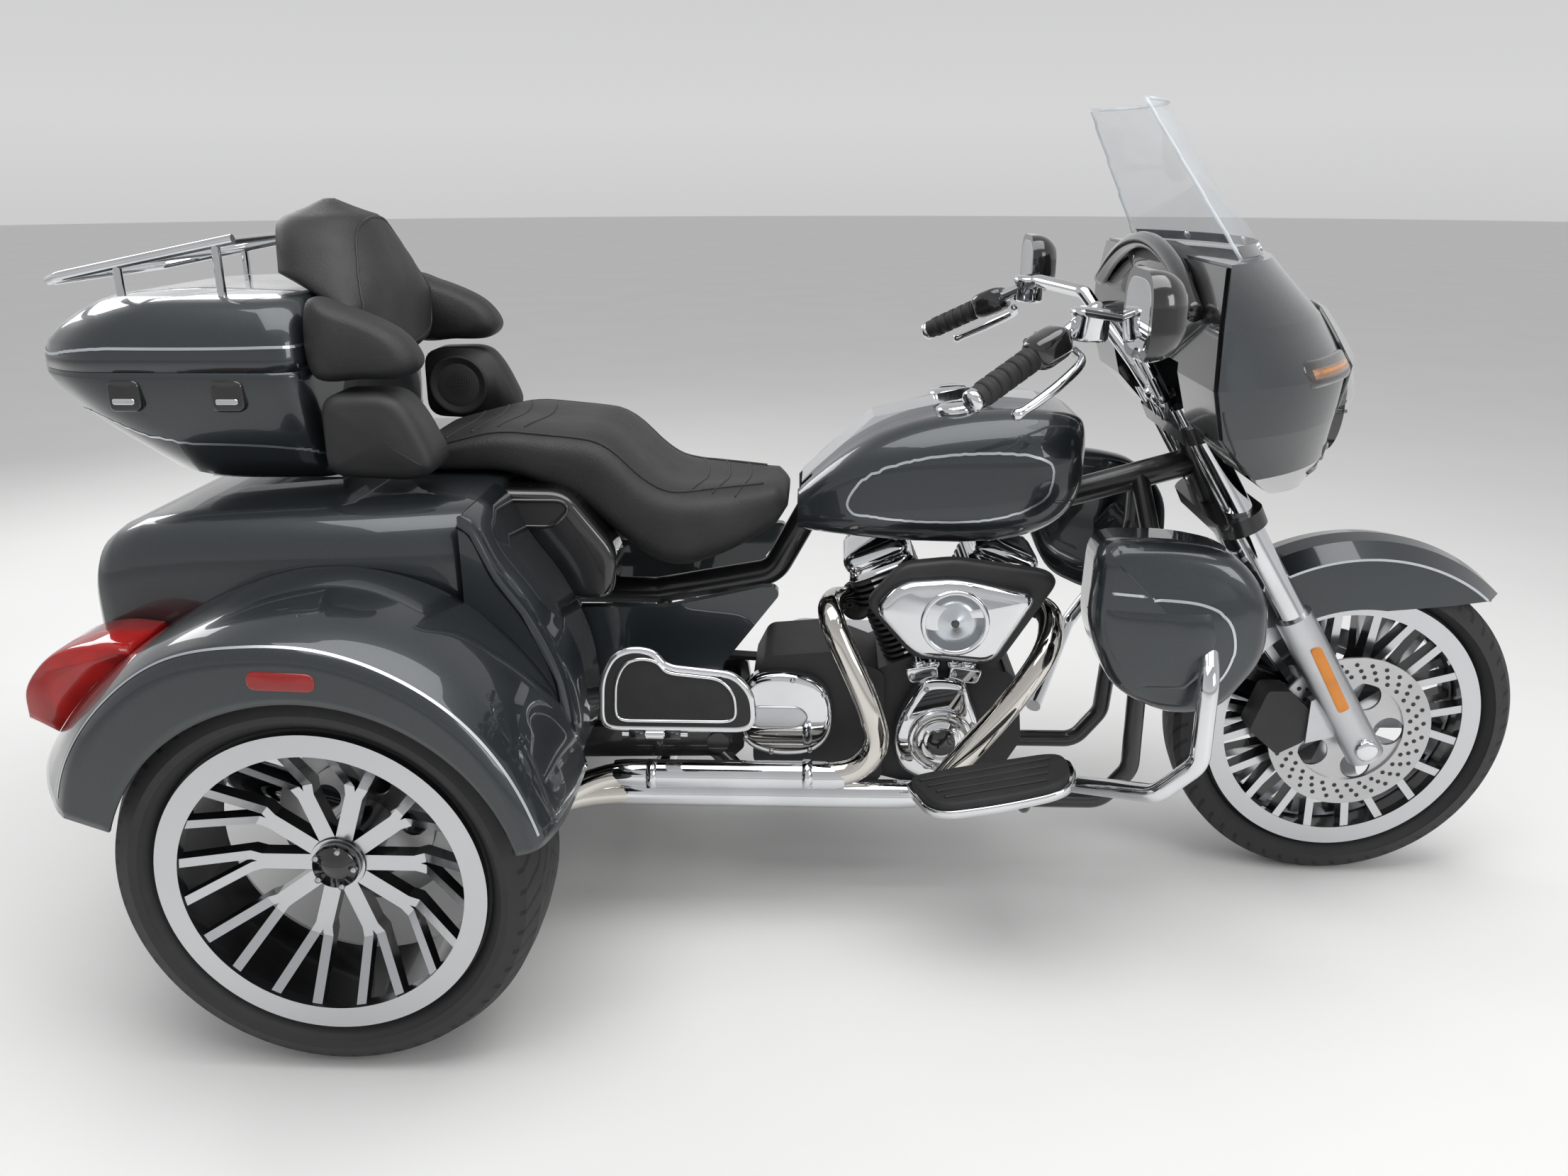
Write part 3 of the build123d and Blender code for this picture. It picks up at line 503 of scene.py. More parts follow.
def from_rear_axle(points: Sequence[Point]) -> np.ndarray:
    """Turns places measured forward from the rear axle into the model's frame, as an N by 3 array."""
    return np.array(points, dtype=float) + np.array([REAR_AXLE_X, 0.0, 0.0])


def spot(x: float, y: float, z: float) -> np.ndarray:
    """One place measured forward from the rear axle, in the model's frame."""
    return from_rear_axle([(x, y, z)])[0]


def side_line(corners: Sequence[tuple[float, float]], y: float = 0.0) -> np.ndarray:
    """A line of the side view, at y from the middle."""
    return from_rear_axle([(x, y, z) for x, z in corners])


def full_turn(count: int) -> np.ndarray:
    """Angles evenly round a circle."""
    return np.linspace(0, 2 * np.pi, count, endpoint=False)


def boxed(values: np.ndarray, power: float) -> np.ndarray:
    """Raises the size of sines or cosines to a power, which squares a circle's corners."""
    return np.sign(values) * np.abs(values) ** power


def scaled(outline: np.ndarray, share: float) -> np.ndarray:
    """The outline drawn in towards its middle."""
    middle = outline.mean(axis=0)
    return middle + (outline - middle) * share


def averaged(rows: np.ndarray, reach: int) -> np.ndarray:
    """Each column's running mean over reach rows to both sides."""
    width = 2 * reach + 1
    return np.stack([np.convolve(np.pad(column, reach, mode="edge"), np.ones(width) / width, mode="valid")
                     for column in rows.T], axis=1)


def sided(rows: Sequence[Point], side: float) -> list[Point]:
    """Rows of a height and two distances from the middle, put on one side."""
    return [(z, side * near, side * far) for z, near, far in rows]


def smooth_path(points: np.ndarray, count: int, closed: bool = False) -> np.ndarray:
    """A Catmull-Rom curve through points, cut into count pieces.

    Each span from p1 to p2 is (2 p1 + (p2 - p0) t + (2 p0 - 5 p1 + 4 p2 - p3) t^2
    + (3 p1 - p0 - 3 p2 + p3) t^3) / 2, with t from 0 to 1.

    Args:
        points: array of corners, one in a row.
        count: number of points in the result.
        closed: joins the last corner to the first.

    Returns:
        An array of count rows.
    """
    n = len(points)
    if closed:
        padded = np.concatenate([points[-1:], points, points[:2]])
        spans = n
    else:
        padded = np.concatenate([2 * points[:1] - points[1:2], points, 2 * points[-1:] - points[-2:-1]])
        spans = n - 1
    along = np.linspace(0, spans, count, endpoint=not closed)
    i = np.minimum(along.astype(int), spans - 1)
    t = (along - i)[:, None]
    p0, p1, p2, p3 = padded[i], padded[i + 1], padded[i + 2], padded[i + 3]
    return 0.5 * (2 * p1 + (p2 - p0) * t + (2 * p0 - 5 * p1 + 4 * p2 - p3) * t ** 2
                  + (3 * p1 - p0 - 3 * p2 + p3) * t ** 3)


def tube(name: str, path: np.ndarray, radius: float | np.ndarray, kind: object, body: str, sides: int,
         closed: bool = False) -> bpy.types.Object:
    """A round bar along a path, its frame carried from point to point without twist.

    Args:
        name: the piece's name.
        path: N by 3 array.
        radius: one radius, or one for each point.
        kind: the finish.
        body: the body it rides on.
        sides: corners of the round.
        closed: joins the end to the start.

    Returns:
        The new object.
    """
    n = len(path)
    ahead = np.roll(path, -1, axis=0) - np.roll(path, 1, axis=0)
    if not closed:
        ahead[0], ahead[-1] = path[1] - path[0], path[-1] - path[-2]
    ahead /= np.linalg.norm(ahead, axis=1)[:, None] + 1e-12
    side = np.zeros_like(path)
    guide = np.array([0.0, 0.0, 1.0]) if abs(ahead[0, 2]) < 0.9 else np.array([1.0, 0.0, 0.0])
    for i in range(n):
        guide = guide - ahead[i] * (guide @ ahead[i])
        guide /= np.linalg.norm(guide) + 1e-12
        side[i] = guide
    other = np.cross(ahead, side)
    turn = full_turn(sides)
    radii = np.broadcast_to(np.asarray(radius, dtype=float), (n,))[:, None, None]
    ring = side[:, None, :] * np.cos(turn)[None, :, None] + other[:, None, :] * np.sin(turn)[None, :, None]
    points = (path[:, None, :] + radii * ring).reshape(-1, 3)
    faces = [list(f) for f in grid_faces(n, sides, closed, True)[:, ::-1].tolist()]
    if not closed:
        faces += [list(range(sides)), list(range(n * sides - 1, (n - 1) * sides - 1, -1))]
    return mesh_piece(name, points, faces, kind, body)


def lathe(name: str, profile: Sequence[tuple[float, float]], centre: Sequence[float], axis: Sequence[float],
          kind: object, body: str, sides: int = 40) -> bpy.types.Object:
    """A turned piece.

    Point k of the profile, at (r, h), gives the ring centre + h axis + r (u cos a + v sin a).

    Args:
        name: the piece's name.
        profile: radius and height along the axis, from the low end up the outside; a radius of 0
            closes the end.
        centre: the foot of the axis.
        axis: its direction.
        kind: the finish.
        body: the body it rides on.
        sides: corners of the round.

    Returns:
        The new object.
    """
    w = np.array(axis, dtype=float)
    w /= np.linalg.norm(w)
    u = np.cross(w, [0.0, 0.0, 1.0] if abs(w[2]) < 0.9 else [1.0, 0.0, 0.0])
    u /= np.linalg.norm(u)
    v = np.cross(w, u)
    turn = full_turn(sides)
    r, h = np.array(profile).T
    r = np.maximum(r, 1e-5)
    ring = u[None, :] * np.cos(turn)[:, None] + v[None, :] * np.sin(turn)[:, None]
    points = np.asarray(centre) + h[:, None, None] * w + r[:, None, None] * ring[None, :, :]
    faces = [list(f) for f in grid_faces(len(profile), sides, False, True).tolist()]
    faces += [list(range(sides - 1, -1, -1)), list(range((len(profile) - 1) * sides, len(profile) * sides))]
    return mesh_piece(name, points.reshape(-1, 3), faces, kind, body)


def loop_skin(name: str, loops: np.ndarray, kind: object, body: str, smooth: bool = True) -> bpy.types.Object:
    """A skin over closed loops, M loops of N points, capped at both ends.

    Args:
        name: the piece's name.
        loops: M by N by 3 array.
        kind: the finish.
        body: the body it rides on.
        smooth: whether it is shaded smooth.

    Returns:
        The new object.
    """
    m, n = loops.shape[:2]
    faces = [list(f) for f in grid_faces(m, n, False, True).tolist()]
    faces += [list(range(n - 1, -1, -1)), list(range((m - 1) * n, m * n))]
    piece = mesh_piece(name, loops.reshape(-1, 3), faces, kind, body, smooth)
    outward(piece)
    return piece


def outward(piece: bpy.types.Object) -> None:
    """Turns a closed piece's faces outward, by the sign of the volume that they enclose."""
    data = piece.data
    data.calc_loop_triangles()
    corners = np.array([v.co[:] for v in data.vertices])
    t = corners[np.array([tri.vertices[:] for tri in data.loop_triangles])]
    if np.einsum("ij,ij->i", t[:, 0], np.cross(t[:, 1], t[:, 2])).sum() < 0:
        data.flip_normals()


def eased(before: np.ndarray, corner: np.ndarray, after: np.ndarray, radius: float,
          pieces: int) -> list[np.ndarray]:
    """The curve that rounds one corner.

    It is (1 - t)^2 A + 2 t (1 - t) C + t^2 B between points A and B on the runs that meet at C.

    Args:
        before: the corner before it.
        corner: the corner C.
        after: the corner after it.
        radius: how far from C the curve starts and ends, or 0.45 of a shorter run.
        pieces: points in the curve.

    Returns:
        The points.
    """
    back, ahead = before - corner, after - corner
    a = corner + back * min(0.45, radius / np.linalg.norm(back))
    b = corner + ahead * min(0.45, radius / np.linalg.norm(ahead))
    return [(1 - t) ** 2 * a + 2 * t * (1 - t) * corner + t ** 2 * b for t in np.linspace(0, 1, pieces)]


def bent(points: Sequence[Point], radius: float) -> np.ndarray:
    """A route of straight runs with rounded corners, measured from the rear axle.

    Args:
        points: the corners.
        radius: how far before and after a corner the bend reaches, or 0.45 of a shorter run.

    Returns:
        N by 3 array.
    """
    p = from_rear_axle(points)
    route = [p[0]]
    for corners in zip(p[:-2], p[1:-1], p[2:]):
        route += eased(*corners, radius, 8)
    return np.array([*route, p[-1]])


def rounded(corners: Sequence[tuple[float, float]], radius: float, pieces: int = 7) -> np.ndarray:
    """A closed outline of straight edges with rounded corners.

    Args:
        corners: the outline's corners.
        radius: how far a corner's curve reaches along its edges, or 0.45 of a shorter edge.
        pieces: points in a corner.

    Returns:
        N by 2 array.
    """
    p = np.array(corners, float)
    outline = []
    for three in zip(np.roll(p, 1, axis=0), p, np.roll(p, -1, axis=0)):
        outline += eased(*three, radius, pieces)
    return np.array(outline)


def rectangle(x0: float, x1: float, z0: float, z1: float) -> list[tuple[float, float]]:
    """The corners of a rectangle, round from its low first end."""
    return [(x0, z0), (x1, z0), (x1, z1), (x0, z1)]


@dataclass
class Plate:
    """A flat place in space: its origin, two directions in it, and the direction it faces."""

    origin: Point
    u: Point
    v: Point
    n: Point

    @classmethod
    def flank(cls, side: float) -> "Plate":
        """The upright plane along the vehicle through its middle, with u forward of the rear axle."""
        return cls((REAR_AXLE_X, 0.0, 0.0), (1.0, 0.0, 0.0), (0.0, 0.0, 1.0), (0.0, side, 0.0))

    def at(self, outline: np.ndarray, height: float) -> np.ndarray:
        """Points of the outline at a height over the plate."""
        u, v, n = np.array(self.u), np.array(self.v), np.array(self.n)
        return np.array(self.origin) + outline[:, :1] * u + outline[:, 1:] * v + height * n

    def crowned(self, name: str, outline: np.ndarray, foot: float, top: float, edge: float, dome: float,
                kind: object, body: str, wall: float = 0.0) -> bpy.types.Object:
        """A slab over an outline with a rounded edge and a domed face, solid or hollow and open at the foot.

        The edge is a quarter of a circle of radius `edge`; the face at a share f of the outline, measured
        from its middle, stands dome (1 - f^2) over the edge.

        Args:
            name: name of the piece.
            outline: N by 2 array in u and v.
            foot: height of the slab's bottom.
            top: height of the face at its edge.
            edge: radius of the rounded edge.
            dome: rise of the face at its middle.
            kind: finish.
            body: rigid body.
            wall: thickness of a hollow form, or 0 for a solid one.

        Returns:
            The piece.
        """
        along = np.roll(outline, -1, axis=0) - np.roll(outline, 1, axis=0)
        normal = np.stack([along[:, 1], -along[:, 0]], axis=1)
        normal /= np.linalg.norm(normal, axis=1)[:, None] + 1e-9
        middle = outline.mean(axis=0)
        normal *= np.sign(np.sum(normal * (outline - middle)))
        loops = [self.at(outline, foot), self.at(outline, top - edge)]
        for t in np.linspace(0, math.pi / 2, 6)[1:]:
            loops.append(self.at(outline - normal * edge * (1 - math.cos(t)),
                                 top - edge + edge * math.sin(t)))
        face = outline - normal * edge
        for f in (0.93, 0.8, 0.6, 0.35, 0.08):
            loops.append(self.at(middle + (face - middle) * f, top + dome * (1 - f * f)))
        if not wall:
            return loop_skin(name, np.array(loops), kind, body)
        centre = self.at(middle[None, :], top)[0]
        shrink = 1 - wall / np.linalg.norm(outline - middle, axis=1).mean()
        inside = [centre + (loop - centre) * shrink for loop in loops[::-1]]
        inside[-1] = self.at(middle + (outline - middle) * shrink, foot)
        return loop_skin(name, np.array(inside + loops), kind, body)


class Surface:
    """The outside of CAD nodes or pieces, for laying stripes, seams and bolts on it."""

    def __init__(self, *nodes: bpy.types.Object) -> None:
        """Builds one search tree over all their faces."""
        corners, faces = [], []
        for node in nodes:
            start = len(corners)
            corners += [v.co[:] for v in node.data.vertices]
            faces += [[start + k for k in p.vertices] for p in node.data.polygons]
        self.tree = BVHTree.FromPolygons(corners, faces)

    @classmethod
    def named(cls, *names: str) -> "Surface":
        """The outside of the nodes or pieces of these names."""
        return cls(*(bpy.data.objects[name] for name in names))

    def near(self, points: np.ndarray, lift: float = 0.0) -> tuple[np.ndarray, np.ndarray]:
        """Finds the nearest places on the surface.

        Args:
            points: N by 3 array.
            lift: metres off the surface.

        Returns:
            The places and the surface normals there.
        """
        found = [self.tree.find_nearest(Vector(p)) for p in points]
        places = np.array([hit[0][:] for hit in found])
        normals = np.array([hit[1][:] for hit in found])
        return places + lift * normals, normals


def stripe(name: str, surface: Surface, path: np.ndarray, width: float, kind: object, body: str,
           count: int, closed: bool = False, lift: float = 0.0006) -> bpy.types.Object:
    """A thin band of paint or trim laid on a CAD surface along a path.

    Args:
        name: the piece's name.
        surface: what it lies on.
        path: corners of the route, near the surface.
        width: its width.
        kind: the finish.
        body: the body it rides on.
        count: points along it.
        closed: joins the end to the start.
        lift: how far it stands off.

    Returns:
        The new object.
    """
    line, normals = surface.near(smooth_path(path, count, closed), lift)
    ahead = np.roll(line, -1, axis=0) - np.roll(line, 1, axis=0)
    if not closed:
        ahead[0], ahead[-1] = line[1] - line[0], line[-1] - line[-2]
    across = np.cross(normals, ahead)
    across /= np.linalg.norm(across, axis=1)[:, None] + 1e-12
    points = np.stack([line - across * width / 2, line + across * width / 2], axis=1).reshape(-1, 3)
    return mesh_piece(name, points, grid_faces(count, 2, closed, False)[:, ::-1], kind, body)


class View(Enum):
    """A direction to look along: the two axes of the picture, the depth axis and its sign."""

    FRONT = (1, 2, 0, 1.0)
    REAR = (1, 2, 0, -1.0)
    LEFT = (0, 2, 1, 1.0)
    RIGHT = (0, 2, 1, -1.0)
    TOP = (0, 1, 2, 1.0)


def cast(surface: Surface, view: View, a: float, b: float) -> tuple[np.ndarray, np.ndarray] | None:
    """Meets a surface along a view.

    Args:
        surface: what is looked at.
        view: the side it is seen from.
        a: place along the picture's first axis.
        b: place along its second axis.

    Returns:
        The first point met and its normal, or None.
    """
    first, second, depth, sign = view.value
    start, way = np.zeros(3), np.zeros(3)
    start[first], start[second], start[depth] = a, b, 3.0 * sign
    way[depth] = -sign
    hit = surface.tree.ray_cast(Vector(start), Vector(way))
    return (np.array(hit[0]), np.array(hit[1])) if hit[0] else None


def panel(name: str, surface: Surface, view: View, rows: Sequence[tuple[float, float, float]], lift: float,
          kind: object, body: str, across: int = 26, up: int = 22) -> bpy.types.Object:
    """A raised patch on a CAD surface, such as a lens, a pad or a cover.

    With u and v from -1 to 1 over the patch, it stands lift (1 - u^10) (1 - v^10) off the surface.

    Args:
        name: the piece's name.
        surface: what it lies on.
        view: the side it is laid on from.
        rows: for each row, its place along the view's second axis and its two ends along the first.
        lift: its height in the middle.
        kind: the finish.
        body: the body it rides on.
        across: points in a row.
        up: number of rows.

    Returns:
        The new object.
    """
    table = smooth_path(np.array(rows, dtype=float), up)
    u, v = np.linspace(-1, 1, across), np.linspace(-1, 1, up)
    first, second, depth, sign = view.value
    points = []
    deep = None
    for (b, a0, a1), vi in zip(table, v):
        for ui in u:
            a = a0 + (a1 - a0) * (ui + 1) / 2
            found = cast(surface, view, a, b)
            if found is None:
                guess = np.zeros(3)
                guess[first], guess[second], guess[depth] = a, b, deep if deep is not None else 3.0 * sign
                places, normals = surface.near(guess[None, :])
                found = (places[0], normals[0])
            place, normal = found
            deep = place[depth]
            points.append(place + normal * (lift * (1 - ui ** 10) * (1 - vi ** 10) + 0.0002))
    faces = grid_faces(up, across)
    points = np.array(points)
    q = points[faces[len(faces) // 2 + across // 2]]
    normal = np.cross(q[1] - q[0], q[2] - q[0])
    if normal[depth] * sign < 0:
        faces = faces[:, ::-1]
    return mesh_piece(name, points, faces, kind, body)


# Wheels


@dataclass
class Wheels:
    """Treads, spoke hub caps, brake disc holes and bolts of the three wheels."""

    hub_cap_r: float = 0.036
    bolt_r: float = 0.0055
    bolts: int = 5
    hole_r: float = 0.0042
    hole_count: int = 30
    hole_rings: tuple[float, ...] = (0.112, 0.124, 0.136)

    def treads(self) -> None:
        """Gives each tyre its own tread, centred on its axle."""
        for name in ("front_tyre", "rear_tyre_left", "rear_tyre_right"):
            low, high = (np.array(corner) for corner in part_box(name))
            middle = (low + high) / 2
            finish = Tread(f"tread_{name}", tuple(middle), (high - low)[2] / 2, (high - low)[1] / 2)
            SHOP.dress(bpy.data.objects[name], finish)

    def cap(self, name: str, rim: str, body: str, side: float) -> None:
        """A stepped gloss cap over the axle and a ring of chrome bolts.

        Args:
            name: the cap's name.
            rim: the CAD rim it sits in.
            body: the wheel's body.
            side: -1 or 1, the way it looks.
        """
        low, high = (np.array(corner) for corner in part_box(rim))
        centre = (low + high) / 2
        face = Surface.named(rim)
        probe = face.tree.ray_cast(Vector((centre[0] + 0.031, side * 2, centre[2])), Vector((0, -side, 0)))
        foot = np.array([centre[0], probe[0][1] - side * 0.001, centre[2]])
        r = self.hub_cap_r
        profile = [(0, 0), (r, 0), (r, 0.010), (r * 0.92, 0.016), (r * 0.62, 0.018), (r * 0.58, 0.022),
                   (0, 0.023)]
        lathe(name, profile, foot, (0, side, 0), GLOSS_BLACK, body)
        for k in range(self.bolts):
            a = 2 * math.pi * k / self.bolts
            place = foot + np.array([0.031 * math.cos(a), side * 0.016, 0.031 * math.sin(a)])
            self.bolt(f"{name}_bolt_{k}", place, (0, side, 0), body)

    def bolt(self, name: str, place: np.ndarray, axis: Point, body: str) -> None:
        """A hexagonal bolt head with a turned top."""
        r = self.bolt_r
        lathe(name, [(0, -0.002), (r, -0.002), (r, 0.004), (r * 0.8, 0.006), (0, 0.006)], place, axis,
              STEEL, body, 6)

    def disc_holes(self, name: str, centre: np.ndarray, face_y: float, body: str) -> None:
        """Drilled holes on a brake disc's face, as one mesh of small flat black rounds: painted shade where
        the openings are.

        Args:
            name: the piece's name.
            centre: the axle.
            face_y: where the disc's outer face lies.
            body: the wheel's body.
        """
        turn = full_turn(10)
        rounds = []
        for k, r in enumerate(self.hole_rings):
            for a in full_turn(self.hole_count) + k * 0.07:
                middle = np.array([centre[0] + r * math.cos(a), face_y, centre[2] + r * math.sin(a)])
                rounds.append(middle + self.hole_r * np.stack(
                    [np.cos(turn), np.zeros(10), np.sin(turn)], axis=1))
        faces = np.arange(len(rounds) * 10).reshape(-1, 10)
        mesh_piece(name, np.concatenate(rounds), faces, BLACK_PLASTIC, body, False)

    def build(self) -> None:
        """Makes the wheels' visible trim."""
        self.treads()
        self.cap("rear_cap_right", "rear_rim_right", "rear_wheel_right", -1)
        self.cap("rear_cap_left", "rear_rim_left", "rear_wheel_left", 1)
        low, high = (np.array(c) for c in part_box("front_discs"))
        centre = (low + high) / 2
        for side, face in ((-1, low[1]), (1, high[1])):
            self.disc_holes(f"front_disc_holes_{side}", centre, face + side * 0.0004, "front_wheel")


# Rear body


@dataclass
class RearBody:
    """The fenders over the rear wheels, the flanks in front of them, the valance and the tail lamps.

    A fender's surface is given in polar form about the axle: at angle a and distance y from the
    middle, r = ridge(a) + share(y) (inner(a) - ridge(a)) - drop(y).
    """

    axle_z: float = 0.322
    trunk_y: float = 0.4405
    outer_y: float = 0.697
    wall: float = 0.005
    arch_x: float = 0.006
    arch_r: float = 0.306
    angles: tuple[float, ...] = (160, 148, 132, 115, 98, 82, 66, 50, 36, 24, 14)
    ridge: tuple[float, ...] = (0.386, 0.396, 0.402, 0.405, 0.393, 0.387, 0.378, 0.369, 0.360, 0.354, 0.352)
    inner: tuple[float, ...] = (0.498, 0.466, 0.436, 0.423, 0.424, 0.420, 0.410, 0.392, 0.380, 0.372, 0.368)
    rows_y: tuple[float, ...] = (0.4405, 0.510, 0.580, 0.635, 0.672, 0.688, 0.697)
    share: tuple[float, ...] = (1.0, 0.86, 0.60, 0.30, 0.08, 0.0, 0.0)
    drop: tuple[float, ...] = (0.0, -0.004, -0.008, -0.008, -0.001, 0.006, 0.020)

    def radius(self, angle: np.ndarray, y: np.ndarray) -> np.ndarray:
        """The fender's radius at angles in degrees and distances y."""
        table = np.stack([self.angles, self.ridge, self.inner], axis=1)[::-1]
        fine = smooth_path(table, 200)
        ridge = np.interp(angle, fine[:, 0], fine[:, 1])
        inner = np.interp(angle, fine[:, 0], fine[:, 2])
        rows = smooth_path(np.stack([self.rows_y, self.share, self.drop], axis=1), 120)
        share, drop = np.interp(y, rows[:, 0], rows[:, 1]), np.interp(y, rows[:, 0], rows[:, 2])
        return ridge + share * (inner - ridge) - drop

    def place(self, angle: np.ndarray, radius: np.ndarray, y: np.ndarray, side: float) -> np.ndarray:
        """Turns polar places into the model's frame."""
        a = np.radians(angle)
        return np.stack([REAR_AXLE_X + radius * np.cos(a), side * y + 0 * a,
                         self.axle_z + radius * np.sin(a)], axis=-1)

    def fender(self, side: float) -> bpy.types.Object:
        """One fender: at each angle a closed section, out over the crown, down to the lip and back inside."""
        out_y = np.concatenate([np.linspace(self.trunk_y, 0.66, 18), np.linspace(0.668, self.outer_y, 9)])
        loops = []
        for angle in np.linspace(self.angles[0], self.angles[-1], 84):
            r = self.radius(np.full_like(out_y, angle), out_y)
            a = math.radians(angle)
            lip = self.arch_x * math.cos(a) + math.sqrt(self.arch_r ** 2 - (self.arch_x * math.sin(a)) ** 2)
            down = np.linspace(r[-1], lip, 7)[1:]
            y = np.concatenate([out_y, np.full(6, self.outer_y), np.full(6, self.outer_y - self.wall),
                                out_y[::-1] - np.linspace(self.wall, 0, 27)])
            radii = np.concatenate([r, down, down[::-1], r[::-1] - self.wall])
            loops.append(self.place(np.full_like(y, angle), radii, y, side))
        return loop_skin(f"rear_fender_{side}", np.array(loops), PAINT, "chassis")

    def rear_wall(self, side: float) -> bpy.types.Object:
        """The inboard wall where the fender runs on behind the trunk."""
        angle = np.linspace(160, 128, 20)
        curve = self.place(angle, self.radius(angle, np.full(20, self.trunk_y)) - 0.002,
                           np.full(20, self.trunk_y), side)
        foot = from_rear_axle([(-0.270, side * self.trunk_y, 0.470), (-0.405, side * self.trunk_y, 0.470)])
        loop = np.concatenate([curve, foot])
        shift = np.array([0, side * 0.004, 0])
        return loop_skin(f"fender_wall_{side}", np.array([loop, loop + shift]), PAINT, "chassis", False)

    def flank(self, side: float) -> bpy.types.Object:
        """The panel from the trunk's front edge down to the fender's front leg, its outer edge rounded."""
        curve = smooth_path(side_line([(0.186, 0.828), (0.208, 0.810), (0.240, 0.742), (0.292, 0.664),
                                       (0.334, 0.560), (0.346, 0.443), (0.338, 0.405)]), 40)
        middle = spot(0.05, 0, 0.50)
        loops = []
        for y, shrink in ((0.238, 0.0), (0.36, 0.0), (0.424, 0.001), (0.436, 0.004), (0.4415, 0.010),
                          (0.443, 0.017)):
            toward = (middle - curve) / np.linalg.norm(middle - curve, axis=1)[:, None]
            outer, inner = curve + toward * shrink, curve + toward * (shrink + self.wall)
            loop = np.concatenate([outer, inner[::-1]])
            loop[:, 1] = side * y
            loops.append(loop)
        return loop_skin(f"rear_flank_{side}", np.array(loops), PAINT, "chassis")

    def shoulder(self, side: float) -> None:
        """The gloss panel beside the passenger's seat, with the grab pocket in it."""
        plate = Plate.flank(side)
        panel_line = rounded([(0.112, 0.700), (0.120, 0.814), (0.300, 0.811), (0.385, 0.700), (0.372, 0.620),
                              (0.250, 0.620)], 0.03)
        plate.crowned(f"shoulder_{side}", panel_line, 0.150, 0.234, 0.012, 0.0, GLOSS_BLACK, "chassis")
        pocket = rounded([(0.205, 0.752), (0.190, 0.797), (0.296, 0.797), (0.308, 0.782), (0.278, 0.752)],
                         0.014)
        plate.crowned(f"grab_pocket_{side}", pocket, 0.220, 0.2365, 0.002, 0.0, BLACK_PLASTIC, "chassis")
        tube(f"grab_rim_{side}", plate.at(pocket, 0.2365), 0.0035, GLOSS_BLACK, "chassis", 10, True)

    def flank_side(self, side: float) -> bpy.types.Object:
        """The outer wall between the flank's curve and the fender's crown."""
        curve = smooth_path(side_line([(0.186, 0.826), (0.206, 0.808), (0.238, 0.741), (0.289, 0.663),
                                       (0.331, 0.560), (0.343, 0.443)]), 30)
        foot = side_line([(0.180, 0.60), (0.180, 0.824)])
        loop = np.concatenate([curve, foot])
        loops = []
        for y in (0.436, 0.4405):
            ring = loop.copy()
            ring[:, 1] = side * y
            loops.append(ring)
        return loop_skin(f"flank_side_{side}", np.array(loops), PAINT, "chassis", False)

    def valance(self) -> None:
        """The bumper panel under the trunk's door, with a bright strip."""
        profile = side_line([(-0.414, 0.462), (-0.470, 0.458), (-0.540, 0.444), (-0.553, 0.400),
                             (-0.559, 0.345), (-0.548, 0.322), (-0.500, 0.330), (-0.430, 0.372),
                             (-0.414, 0.430)])
        outline = smooth_path(profile, 60, True)
        loops = []
        for t in np.linspace(-1, 1, 41):
            ring = scaled(outline, 1 - 0.55 * abs(t) ** 14)
            ring[:, 0] += 0.060 * abs(t) ** 5
            ring[:, 1] = 0.418 * t
            loops.append(ring)
        form = loop_skin("valance", np.array(loops), PAINT, "chassis")
        on = Surface(form)
        line = np.array([cast(on, View.REAR, y, 0.352)[0] for y in np.linspace(-0.36, 0.36, 12)])
        stripe("valance_strip", on, line, 0.010, CHROME, "chassis", 60, lift=0.0012)

    def tail_lamp(self, side: float) -> bpy.types.Object:
        """The red lamp in the corner between trunk and fender, lying on the crown."""
        top = smooth_path(side_line([(-0.474, 0.530), (-0.470, 0.578), (-0.440, 0.620), (-0.405, 0.644),
                                     (-0.350, 0.656), (-0.296, 0.652)]), 26)
        angle = np.linspace(132.5, 155.5, 22)
        loops = []
        for y, shrink in ((self.trunk_y + 0.001, 0.0), (0.50, 0.0), (0.535, 0.006), (0.550, 0.016),
                          (0.556, 0.034)):
            low = self.place(angle, self.radius(angle, np.full(22, y)) + 0.0006, np.full(22, y), side)
            ring = np.concatenate([top, low])
            middle = ring.mean(axis=0)
            pull = (middle - ring) / np.linalg.norm(middle - ring, axis=1)[:, None]
            keep = np.concatenate([np.ones(26), np.zeros(22)])[:, None]
            ring = ring + pull * shrink * keep
            ring[:, 1] = side * y
            loops.append(ring)
        return loop_skin(f"tail_lamp_{side}", np.array(loops), RED_LENS, "chassis")

    def build(self) -> None:
        """Makes the rear body in place of the plain fenders and lamps."""
        for side in SIDES:
            for form in (self.fender(side), self.rear_wall(side), self.flank(side), self.flank_side(side)):
                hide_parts("rear_fenders")
            self.shoulder(side)
            lamp = self.tail_lamp(side)
            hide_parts("tail_lamps")
        self.valance()


